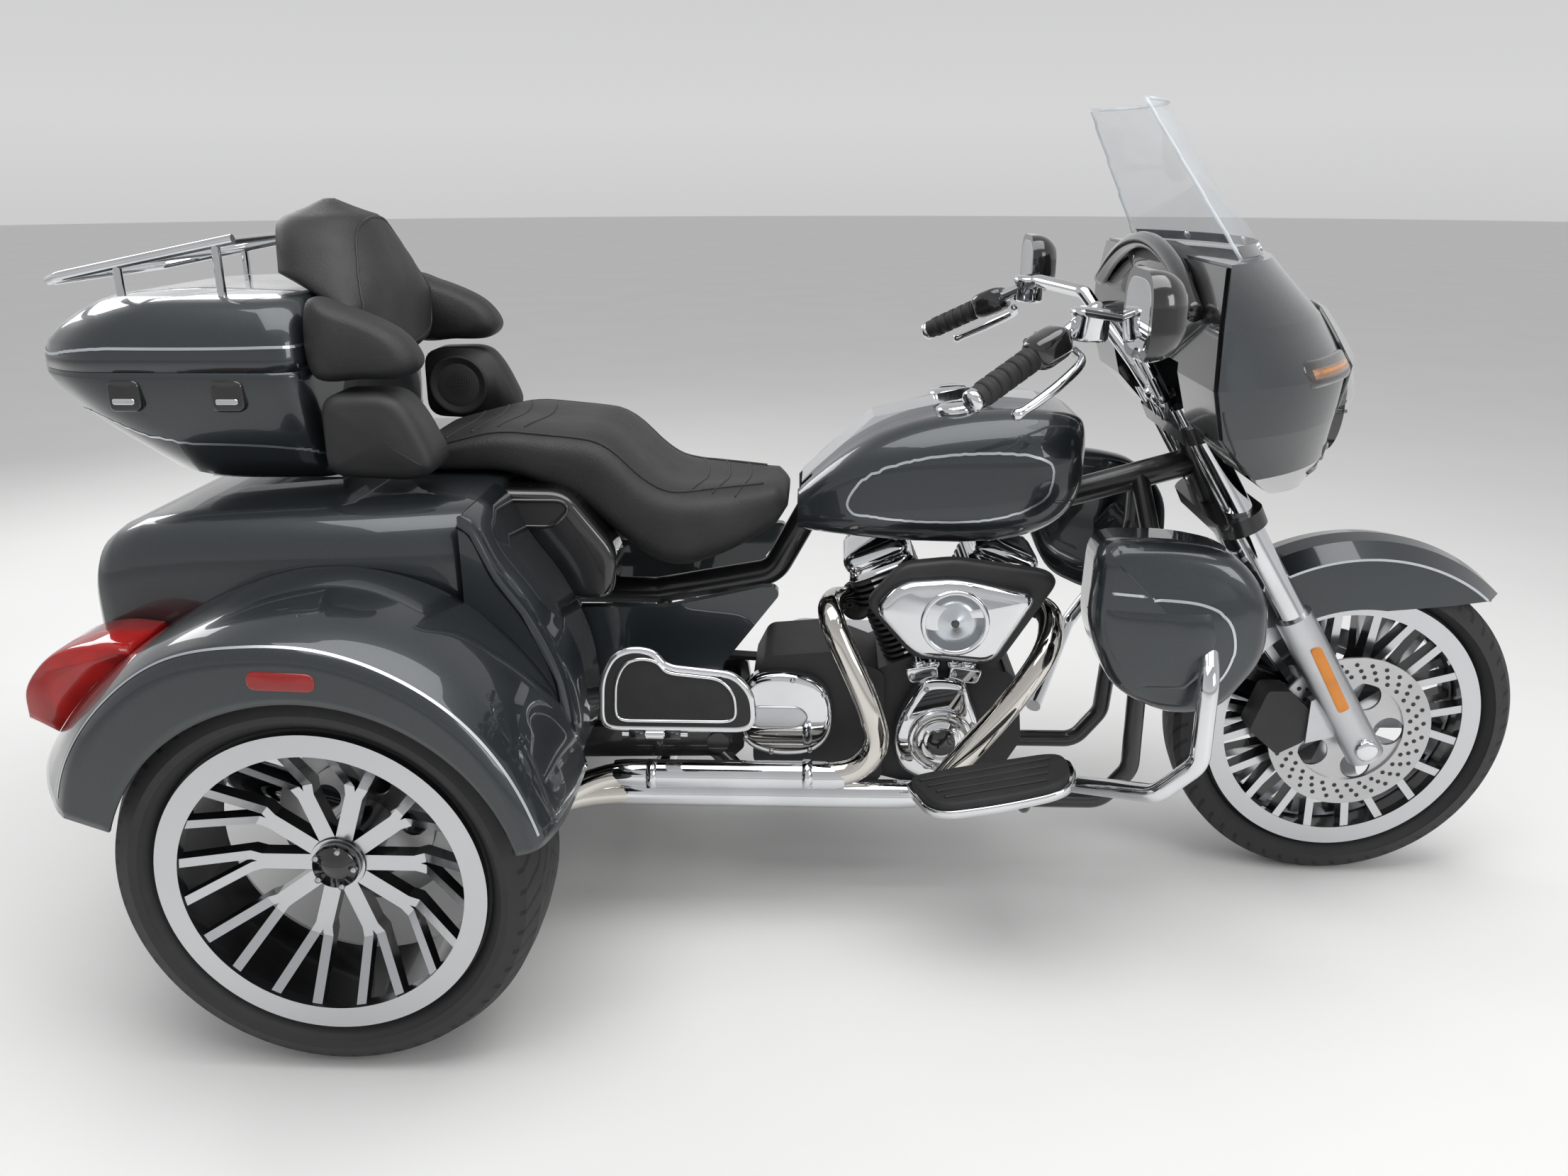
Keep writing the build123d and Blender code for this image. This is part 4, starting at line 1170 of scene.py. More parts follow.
@dataclass
class Exhaust:
    """Two header pipes on the right, their long runs to the mufflers, clamps, guards and tips."""

    pipe_r: float = 0.0225
    bend: float = 0.055
    run_y: float = -0.228

    def pipes(self) -> None:
        """The headers, the crossing to the left muffler and the clamp rings."""
        low, out = 0.252, self.run_y
        routes = {
            "rear_header": [(0.790, -0.060, 0.565), (0.752, -0.110, 0.585), (0.744, -0.205, 0.585),
                            (0.816, out, 0.431), (0.838, out, 0.345), (0.790, out, 0.290),
                            (0.340, out, 0.284), (0.140, -0.330, 0.206), (0.100, -0.330, 0.198)],
            "front_header": [(1.108, -0.060, 0.565), (1.150, -0.110, 0.560), (1.130, -0.200, 0.520),
                             (1.062, out, 0.426), (0.979, out, 0.319), (0.930, out, low),
                             (0.400, out, low), (0.300, -0.245, low), (0.225, -0.284, 0.240)],
            "crossing": [(0.450, out, 0.270), (0.425, -0.165, 0.205), (0.425, 0.165, 0.205),
                         (0.330, 0.250, 0.212), (0.140, 0.330, 0.204), (0.100, 0.330, 0.198)],
        }
        for name, route in routes.items():
            r = self.pipe_r if name != "crossing" else self.pipe_r - 0.002
            pipe = tube(f"{name}_pipe", bent(route, self.bend), r, WARM_CHROME, "chassis", 26)
            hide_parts("exhaust_pipes")
        for k, (x, z) in enumerate(((0.700, 0.2888), (0.420, 0.2852))):
            foot = spot(x, out, z)
            lathe(f"pipe_clamp_{k}", [(0.0226, 0), (0.0275, 0), (0.0275, 0.018), (0.0226, 0.018),
                                      (0.0226, 0)], foot, (1, 0, 0.013), CHROME, "chassis", 32)
        for k, (place, axis) in enumerate((((0.800, -0.047, 0.560), (-0.60, -0.72, 0.28)),
                                           ((1.098, -0.047, 0.560), (0.60, -0.78, -0.05)))):
            lathe(f"port_flange_{k}", [(0, 0), (0.038, 0), (0.038, 0.008), (0.030, 0.012), (0, 0.012)],
                  spot(*place), axis, ENGINE_BLACK, "chassis", 30)

    def shields(self) -> None:
        """Chrome guards over the long runs: three quarters of a tube, on the outer side."""
        for name, x0, x1, z in (("upper_shield", 0.360, 0.775, 0.2865),
                                ("lower_shield", 0.330, 0.905, 0.252)):
            turn = np.linspace(math.radians(70), math.radians(290), 22)
            x = np.linspace(x0, x1, 24)
            r = 0.0262 * (1 - 0.10 * np.abs(np.linspace(-1, 1, 24)) ** 16)
            points = np.stack([
                np.repeat(x + REAR_AXLE_X, 22), (self.run_y + np.outer(r, np.cos(turn))).ravel(),
                (z + np.outer(r, np.sin(turn))).ravel()], axis=1)
            mesh_piece(name, points, grid_faces(24, 22), CHROME, "chassis")

    def mufflers(self) -> None:
        """Chrome end cones, tips and bands on both mufflers."""
        for side in SIDES:
            front = spot(0.110, side * 0.330, 0.195)
            rear = spot(-0.450, side * 0.330, 0.372)
            axis = rear - front
            axis /= np.linalg.norm(axis)
            lathe(f"muffler_cone_{side}", [(0.023, -0.050), (0.028, -0.040), (0.0425, 0.004),
                                           (0.0425, 0.010), (0, 0.010)], front, axis, CHROME, "chassis", 40)
            lathe(f"muffler_tip_{side}", [(0.0425, -0.006), (0.0455, 0), (0.0455, 0.048), (0.041, 0.052),
                                          (0.036, 0.046), (0.034, 0.010), (0, 0.008)], rear, axis,
                  BLACK_ENAMEL, "chassis", 44)
            for k, t in enumerate((0.10, 0.42)):
                lathe(f"muffler_band_{side}_{k}", [(0.0421, 0), (0.0445, 0.001), (0.0445, 0.014),
                                                   (0.0421, 0.015), (0.0421, 0)], front + axis * t, axis,
                      STEEL, "chassis", 40)

    def build(self) -> None:
        """Makes pipes, guards and tips."""
        self.pipes()
        self.shields()
        self.mufflers()


# Engine


@dataclass
class Engine:
    """Covers, boss, bolts, fins, pushrod tubes and air cleaner of the V-twin."""

    crank: Point = (0.949, 0.0, 0.365)
    lean: float = math.radians(22.5)
    fins: int = 14
    lifter_x: float = 0.957

    def bolts(self, name: str, places: Sequence[Point], radius: float = 0.0048) -> None:
        """Domed bolt heads on the right side, in one piece of rings of points."""
        points, faces = [], []
        turn = full_turn(14)
        for x, y, z in places:
            first = len(points)
            for r, h in ((1.0, -0.001), (1.0, 0.0028), (0.75, 0.0042), (0.30, 0.0044)):
                for a in turn:
                    points.append((REAR_AXLE_X + x + r * radius * math.cos(a), y - h,
                                   z + r * radius * math.sin(a)))
            faces += [[first + int(i) for i in f] for f in grid_faces(4, 14, wrap_columns=True)]
            faces.append([first + 42 + i for i in range(14)])
        mesh_piece(name, np.array(points), faces, STEEL, "chassis")

    def covers(self) -> None:
        """The timing cover with its boss, and the gearbox cover with its long raised panel."""
        flank = Plate.flank(-1)
        cam = smooth_path(np.array([
            (0.868, 0.300), (0.884, 0.258), (0.918, 0.236), (0.962, 0.230), (1.004, 0.246), (1.026, 0.290),
            (1.026, 0.345), (1.010, 0.392), (0.990, 0.432), (0.925, 0.436), (0.892, 0.392),
            (0.872, 0.348)]), 96, True)
        form = flank.crowned("timing_cover", cam, 0.100, 0.141, 0.014, 0.002, CHROME, "chassis")
        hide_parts("cam_cover")
        lathe("timing_boss", [(0.061, 0), (0.061, 0.010), (0.057, 0.0135), (0.050, 0.0135), (0.047, 0.011),
                              (0.034, 0.012), (0.032, 0.0155), (0.028, 0.016), (0, 0.017)],
              spot(0.954, -0.1405, 0.321), (0, -1, 0), CHROME, "chassis", 56)
        lathe("timing_badge", [(0.026, 0), (0.026, 0.0018), (0, 0.002)], spot(0.954, -0.1570, 0.321),
              (0, -1, 0), GLOSS_BLACK, "chassis", 40)
        ring = [(0.954 + 0.0535 * math.cos(a), -0.154, 0.321 + 0.0535 * math.sin(a))
                for a in np.linspace(0.3, 0.3 + 2 * math.pi, 6, endpoint=False)]
        self.bolts("timing_bolts", [*ring, (0.886, -0.141, 0.282), (1.012, -0.141, 0.275),
                                    (1.012, -0.141, 0.350), (0.888, -0.141, 0.362), (0.925, -0.141, 0.420),
                                    (0.988, -0.141, 0.416)])
        gear = rounded([(0.578, 0.345), (0.590, 0.300), (0.645, 0.278), (0.716, 0.282), (0.752, 0.318),
                        (0.757, 0.380), (0.735, 0.432), (0.672, 0.450), (0.612, 0.446), (0.580, 0.405)], 0.04)
        form = flank.crowned("clutch_release_cover", gear, 0.108, 0.145, 0.014, 0.002, CHROME, "chassis")
        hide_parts("gearbox_cover")
        slot = rounded([(0.604, 0.342), (0.694, 0.342), (0.712, 0.364), (0.694, 0.386), (0.604, 0.386)],
                       0.016)
        flank.crowned("release_panel", slot, 0.140, 0.1505, 0.004, 0, ALLOY, "chassis")
        self.bolts("release_bolts", [(x, -0.1445, z) for x, z in (
            (0.592, 0.320), (0.640, 0.292), (0.712, 0.296), (0.742, 0.345), (0.738, 0.408), (0.680, 0.437),
            (0.606, 0.430))])

    def stack(self, way: float, points: np.ndarray) -> np.ndarray:
        """Turns points of one cylinder's own frame, its third number along the bore, into the model's."""
        a = self.lean * way
        c = np.array([REAR_AXLE_X + self.crank[0], 0, self.crank[2]])
        x, y, z = points.T
        return c + np.stack([x * math.cos(a) + z * math.sin(a), y, -x * math.sin(a) + z * math.cos(a)],
                            axis=1)

    def cylinder(self, way: float) -> None:
        """Bright edges on the fins, and the rounded rocker cover with its bolts."""
        pitch = 0.165 / self.fins
        for fin in range(self.fins):
            half = 0.0593 if fin < 9 else 0.0643
            edge = rounded(rectangle(-half, half, -0.0928, 0.0928), 0.045)
            foot = 0.115 + (fin + 0.5) * pitch
            loops = [self.stack(way, np.column_stack([edge, np.full(len(edge), h)]))
                     for h in (foot + 0.0004, foot + 0.0046)]
            mesh_piece(f"fin_edge_{way}_{fin}", np.concatenate(loops),
                       grid_faces(2, len(edge), False, True), ALLOY, "chassis")
        outline = rounded(rectangle(-0.063, 0.063, -0.085, 0.085), 0.032)
        loops = []
        for h, size in ((0.280, 1.0), (0.284, 1.0), (0.285, 0.965), (0.302, 0.96), (0.303, 0.99),
                        (0.312, 0.99), (0.322, 0.95), (0.328, 0.87), (0.330, 0.72), (0.331, 0.35),
                        (0.331, 0.05)):
            loops.append(self.stack(way, np.column_stack([outline * size, np.full(len(outline), h)])))
        form = loop_skin(f"rocker_cover_{way}", np.array(loops), CHROME, "chassis")
        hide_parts("rocker_covers")
        for k, (x, y) in enumerate(((-0.045, -0.066), (0.045, -0.066), (-0.045, 0.066), (0.045, 0.066))):
            place = self.stack(way, np.array([[x, y, 0.3235]]))[0]
            lathe(f"rocker_bolt_{way}_{k}", [(0.0055, 0), (0.0055, 0.005), (0.003, 0.006), (0, 0.006)], place,
                  (math.sin(self.lean * way), 0, math.cos(self.lean * way)), STEEL, "chassis", 14)

    def pushrods(self) -> None:
        """Two chrome tubes to each head, from a lifter block on the timing cover."""
        x = self.lifter_x
        for way in (-1, 1):
            for k, (foot, top) in enumerate(((0.018, 0.052), (0.044, 0.094))):
                a = spot(x + way * foot, -0.109, 0.452)
                b = spot(x + way * top, -0.109, 0.628)
                tube(f"pushrod_{way}_{k}", np.array([a, (a + b) / 2, b]), 0.0085, CHROME, "chassis", 18)
                axis = (b - a) / np.linalg.norm(b - a)
                for j, t in enumerate((0.0, 0.034, 0.150)):
                    lathe(f"pushrod_collar_{way}_{k}_{j}", [(0, 0), (0.013, 0), (0.0145, 0.003),
                                                            (0.0145, 0.010), (0.012, 0.013), (0, 0.013)],
                          a + axis * t, axis, CHROME, "chassis", 22)
            block = rounded([(x + way * 0.008, 0.430), (x + way * 0.062, 0.424),
                             (x + way * 0.072, 0.452), (x + way * 0.012, 0.462)], 0.010)
            Plate.flank(-1).crowned(f"lifter_block_{way}", block, 0.096, 0.126, 0.004, 0, CHROME, "chassis")
            self.bolts(f"lifter_bolts_{way}", [(x + way * 0.018, -0.126, 0.445),
                                               (x + way * 0.058, -0.126, 0.439)], 0.0055)

    def air_cleaner(self) -> None:
        """The chrome shield, its black rim and backing, and the round badge left bare."""
        flank = Plate.flank(-1)
        back = rounded([(0.806, 0.612), (0.868, 0.684), (0.960, 0.694), (1.116, 0.672), (1.136, 0.655),
                        (1.040, 0.500), (0.892, 0.512)], 0.022)
        form = flank.crowned("cleaner_back", back, 0.196, 0.222, 0.010, 0, ENGINE_BLACK, "chassis")
        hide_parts("air_cleaner_base")
        shield = rounded([(0.819, 0.612), (0.866, 0.661), (0.962, 0.668), (1.099, 0.639), (1.026, 0.514),
                          (0.892, 0.528)], 0.026, 9)
        form = flank.crowned("cleaner_shield", shield, 0.218, 0.2545, 0.016, 0.005, CHROME, "chassis")
        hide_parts("air_cleaner")
        centre = spot(0.958, -0.2560, 0.594)
        lathe("badge_ring", [(0.0490, -0.006), (0.0490, 0.005), (0.0515, 0.0078), (0.0560, 0.0078),
                             (0.0585, 0.005), (0.0585, -0.006)], centre, (0, -1, 0), CHROME, "chassis", 64)
        lathe("badge_disc", [(0.0492, 0.0020), (0.030, 0.0028), (0.0285, 0.0036), (0.010, 0.0040),
                             (0.009, 0.0052), (0, 0.0054)], centre, (0, -1, 0), SILVER, "chassis", 64)
        lathe("badge_screw", [(0.0070, 0.005), (0.0070, 0.0070), (0.0045, 0.0078), (0, 0.0070)], centre,
              (0, -1, 0), GLOSS_BLACK, "chassis", 20)

    def left_side(self) -> None:
        """The round clutch cover and the smaller inspection cover on the left."""
        for name, place, r in (("clutch_cover", (0.735, 0.1795, 0.345), 0.070),
                               ("inspection_cover", (0.955, 0.1795, 0.342), 0.044)):
            centre = spot(*place)
            lathe(name, [(r, 0), (r, 0.006), (0.94 * r, 0.010), (0.80 * r, 0.0105), (0.76 * r, 0.008),
                         (0.3 * r, 0.0095), (0, 0.010)], centre, (0, 1, 0), CHROME, "chassis", 56)
            for k, a in enumerate(np.linspace(0.4, 0.4 + 2 * math.pi, 5, endpoint=False)):
                lathe(f"{name}_bolt_{k}", [(0.0045, 0), (0.0045, 0.0025), (0, 0.003)],
                      centre + np.array([0.87 * r * math.cos(a), 0.010, 0.87 * r * math.sin(a)]), (0, 1, 0),
                      STEEL, "chassis", 12)

    def build(self) -> None:
        """Makes the engine's visible parts."""
        self.covers()
        for way in (-1, 1):
            self.cylinder(way)
        self.pushrods()
        self.air_cleaner()
        self.left_side()


@dataclass
class Boards:
    """The rider's boards under the feet and the passenger's boards, folded up."""

    def rider(self, side: float) -> None:
        """A ribbed rubber pad on a chrome tray, on two arms from the lower rail."""
        rise = np.array([0.286, 0, 0.060]) / math.hypot(0.286, 0.060)
        normal = np.array([-rise[2], 0, rise[0]])
        foot = spot(0.877, 0, 0.306)
        plate = Plate(tuple(foot), tuple(rise), (0.0, side, 0.0), tuple(normal))
        tray = rounded([(0.0, 0.300), (0.040, 0.418), (0.150, 0.427), (0.262, 0.418), (0.292, 0.360),
                        (0.286, 0.292), (0.120, 0.284), (0.020, 0.284)], 0.045)
        form = plate.crowned(f"board_tray_{side}", tray, -0.010, 0.003, 0.004, 0, CHROME, "chassis")
        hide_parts("rider_boards")
        form = plate.crowned(f"board_pad_{side}", scaled(tray, 0.93), 0.001, 0.015, 0.006, 0.002, RUBBER,
                             "chassis")
        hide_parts("rider_boards")
        for k, v in enumerate((0.318, 0.342, 0.366, 0.390)):
            rib = rounded(rectangle(0.030 + 0.012 * k, 0.255 - 0.006 * k, v - 0.005, v + 0.005), 0.004)
            plate.crowned(f"board_rib_{side}_{k}", rib, 0.012, 0.0185, 0.0015, 0, BLACK_PLASTIC, "chassis")
        for k, (x, z) in enumerate(((0.935, 0.306), (1.095, 0.338))):
            arm = bent([(x, side * 0.190, 0.238), (x, side * 0.262, 0.238), (x, side * 0.310, z - 0.010)],
                       0.03)
            tube(f"board_arm_{side}_{k}", arm, 0.0095, BLACK_ENAMEL, "chassis", 16)

    def passenger(self, side: float, body: str) -> None:
        """A black pad in a chrome rim, upright beside the side cover."""
        flank = Plate.flank(side)
        outline = rounded([(0.368, 0.452), (0.372, 0.525), (0.392, 0.566), (0.424, 0.578), (0.458, 0.572),
                           (0.476, 0.546), (0.588, 0.534), (0.616, 0.502), (0.620, 0.452), (0.606, 0.438),
                           (0.380, 0.438)], 0.022)
        pad = flank.crowned(f"{body}_pad", outline, 0.346, 0.358, 0.004, 0.001, RUBBER, body)
        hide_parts(body)
        tube(f"{body}_rim", flank.at(outline, 0.352), 0.0068, CHROME, body, 12, True)
        tube(f"{body}_inner_rim", flank.at(scaled(outline, 0.80), 0.3585), 0.0030, CHROME, body, 10, True)
        for k, x in enumerate((0.425, 0.485)):
            lathe(f"{body}_knuckle_{k}", rectangle(0.0045, 0.0085, -0.013, 0.013),
                  spot(x, side * 0.352, 0.425), (1, 0, 0), BLACK_ENAMEL, body, 20)
            tab = rounded(rectangle(x - 0.011, x + 0.011, 0.428, 0.442), 0.002)
            flank.crowned(f"{body}_tab_{k}", tab, 0.347, 0.357, 0.001, 0, BLACK_ENAMEL, body)

    def build(self) -> None:
        """Makes all four boards."""
        for side, name in ((1, "left"), (-1, "right")):
            self.rider(side)
            self.passenger(side, f"passenger_board_{name}")


@dataclass
class Case:
    """The hollow tour box and its lid, with softened corners and a tapered rear.

    Rows hold a height, the rear and front ends and the half width, measured from the rear axle.
    """

    wall: float = 0.004
    hinge: tuple[float, float] = (0.322, 1.020)
    base: tuple[tuple[float, float, float, float], ...] = (
        (0.8320, -0.300, -0.160, 0.100), (0.8325, -0.368, -0.082, 0.228), (0.842, -0.388, -0.077, 0.246),
        (0.875, -0.420, -0.080, 0.273), (0.912, -0.466, -0.083, 0.290), (0.950, -0.510, -0.086, 0.301),
        (0.985, -0.540, -0.089, 0.308), (1.010, -0.555, -0.092, 0.312), (1.0196, -0.556, -0.092, 0.312))
    lid: tuple[tuple[float, float, float, float], ...] = (
        (1.0206, -0.556, -0.092, 0.312), (1.040, -0.555, -0.092, 0.3115), (1.062, -0.547, -0.093, 0.308),
        (1.084, -0.527, -0.096, 0.300), (1.105, -0.497, -0.101, 0.286), (1.120, -0.470, -0.107, 0.270),
        (1.1275, -0.448, -0.113, 0.254), (1.1305, -0.420, -0.125, 0.236), (1.1315, -0.300, -0.200, 0.060))

    def ring(self, row: Sequence[float], inset: float, lift: float) -> np.ndarray:
        """The rounded outline of one row, drawn in by an inset and moved by a lift."""
        z, rear, front, half = row
        rear, front, half = rear + inset, front - inset, half - inset
        cut = min(0.10, 0.30 * (front - rear))
        plan = rounded([(rear, -0.74 * half), (rear + cut, -half), (front, -half), (front, half),
                        (rear + cut, half), (rear, 0.74 * half)], 0.055, 9)
        return np.column_stack([plan[:, 0] + REAR_AXLE_X, plan[:, 1], np.full(len(plan), z + lift)])

    def build(self) -> None:
        """Makes both halves and the hinge knuckles."""
        base = [self.ring(row, 0, 0) for row in self.base]
        base += [self.ring(row, self.wall, min(self.wall, 1.0196 - row[0])) for row in self.base[::-1]]
        lid = [self.ring(row, self.wall, -min(self.wall, row[0] - 1.0206)) for row in self.lid[::-1]]
        lid += [self.ring(row, 0, 0) for row in self.lid]
        for name, loops, node, body in (("tour_box_shell", base, "tour_box", "chassis"),
                                        ("tour_box_lid_shell", lid, "tour_box_lid", "tour_box_lid")):
            form = loop_skin(name, np.array(loops), PAINT, body)
            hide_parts(node)
        y, z = self.hinge
        for k, x in enumerate((-0.440, -0.210)):
            for j, (shift, half, body) in enumerate(((0, 0.020, "chassis"), (-0.035, 0.014, "tour_box_lid"),
                                                     (0.035, 0.014, "tour_box_lid"))):
                lathe(f"case_knuckle_{k}_{j}", rectangle(0, 0.007, -half, half),
                      spot(x + shift, y, z), (1, 0, 0), BLACK_ENAMEL, body, 20)
                low, high = (z - 0.012, z - 0.001) if body == "chassis" else (z + 0.001, z + 0.012)
                leaf = rounded(rectangle(x + shift - half, x + shift + half, low, high), 0.002)
                Plate.flank(1).crowned(f"case_leaf_{k}_{j}", leaf, y - 0.012, y - 0.003, 0.001, 0,
                                       BLACK_ENAMEL, body)


@dataclass
class Trunk:
    """The hollow trunk with softened edges, open at the rear behind its door.

    Rows hold a station forward of the rear axle, the half width there, the top and the floor.
    """

    wall: float = 0.004
    reach: float = 0.085
    rows: tuple[tuple[float, float, float, float], ...] = (
        (0.1900, 0.378, 0.796, 0.470), (0.1890, 0.396, 0.811, 0.454), (0.1800, 0.409, 0.820, 0.445),
        (0.150, 0.420, 0.8235, 0.4425), (0.090, 0.433, 0.8245, 0.4425), (0.020, 0.440, 0.8235, 0.4425),
        (-0.100, 0.440, 0.820, 0.4425), (-0.240, 0.440, 0.814, 0.4425), (-0.330, 0.438, 0.804, 0.4425),
        (-0.375, 0.434, 0.789, 0.4425), (-0.400, 0.428, 0.772, 0.446), (-0.410, 0.419, 0.758, 0.454),
        (-0.4120, 0.408, 0.746, 0.464))
    opening: tuple[float, float, float] = (0.321, 0.726, 0.509)

    def ring(self, x: float, half: float, top: float, floor: float, reach: float) -> np.ndarray:
        """A rounded rectangle across the vehicle."""
        plan = rounded(rectangle(-half, half, floor, top), reach, 12)
        return np.column_stack([np.full(len(plan), x + REAR_AXLE_X), plan])

    def build(self) -> None:
        """Makes the shell: the outside to the door's opening, then the inside back to the front wall."""
        w = self.wall
        loops = [self.ring(0.190, 0.15, 0.70, 0.56, 0.02)]
        loops += [self.ring(*row, self.reach) for row in self.rows]
        half, top, floor = self.opening
        loops += [self.ring(-0.412, half, top, floor, 0.03), self.ring(-0.408, half, top, floor, 0.03)]
        for x, half, top, floor in self.rows[::-1]:
            inside = min(max(x, -0.412 + w), 0.190 - w)
            loops.append(self.ring(inside, half - w, top - w, floor + w, self.reach))
        loops.append(self.ring(0.186, 0.15, 0.70, 0.56, 0.02))
        form = loop_skin("trunk_shell", np.array(loops), PAINT, "chassis")
        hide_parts("trunk")


# Bodywork lines


@dataclass
class Pinstripes:
    """Silver lines on the painted panels."""

    width: float = 0.0045

    def fender_ridge(self, side: float, surface: Surface) -> None:
        """The line along a rear fender's ridge, from its lip behind to its lip in front."""
        form, angle = RearBody(), np.linspace(157, 17, 60)
        y = np.full(60, 0.686)
        path = form.place(angle, form.radius(angle, y) + 0.001, y, side)
        stripe(f"fender_line_{side}", surface, path, self.width, SILVER, "chassis", 150)

    def tank_loop(self, side: float, surface: Surface) -> None:
        """The teardrop outline on a tank side."""
        path = side_line([(0.745, 0.765), (0.800, 0.835), (0.880, 0.868), (0.980, 0.880), (1.080, 0.875),
                          (1.135, 0.845), (1.120, 0.790), (1.040, 0.750), (0.930, 0.732), (0.820, 0.735)],
                         side * 0.22)
        stripe(f"tank_line_{side}", surface, path, self.width, SILVER, "chassis", 120, closed=True)

    def front_fender_line(self, side: float, surface: Surface) -> None:
        """The line along each side of the front fender, concentric with the wheel."""
        turn = np.radians(np.linspace(48, 146, 12))
        axle = np.array([REAR_AXLE_X + 1.725, 0.0, 0.318])
        path = axle + np.stack([0.338 * np.cos(turn), np.full(12, side * 0.085), 0.338 * np.sin(turn)],
                               axis=1)
        stripe(f"front_fender_line_{side}", surface, path, self.width, SILVER, "steering", 90)

    def box_lines(self, surface: Surface, lid: Surface) -> None:
        """The line low round the tour box, and the one round its lid."""
        for name, z, body, on in (("box_line", 0.875, "chassis", surface),
                                  ("lid_line", 1.062, "tour_box_lid", lid)):
            low, high = (np.array(c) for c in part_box("tour_box"))
            x0, x1, half = low[0] - 0.02, high[0] + 0.02, 0.33
            path = np.array([(x0, -half, z), (x1, -half, z), (x1, half, z), (x0, half, z)])
            doubled = np.repeat(path, 2, axis=0)
            shift = np.array([(0, 0.1, 0), (0.1, 0, 0), (-0.1, 0, 0), (0, 0.1, 0),
                              (0, -0.1, 0), (-0.1, 0, 0), (0.1, 0, 0), (0, -0.1, 0)])
            stripe(name, on, doubled + shift, self.width, SILVER, body, 240, closed=True)

    def build(self) -> None:
        """Lays every line."""
        tank, fender = Surface.named("fuel_tank"), Surface.named("front_fender")
        for side in SIDES:
            self.fender_ridge(side, Surface.named(f"rear_fender_{side}"))
            self.tank_loop(side, tank)
            self.front_fender_line(side, fender)
        self.box_lines(Surface.named("tour_box_shell"), Surface.named("tour_box_lid_shell"))


# Seat and backrest


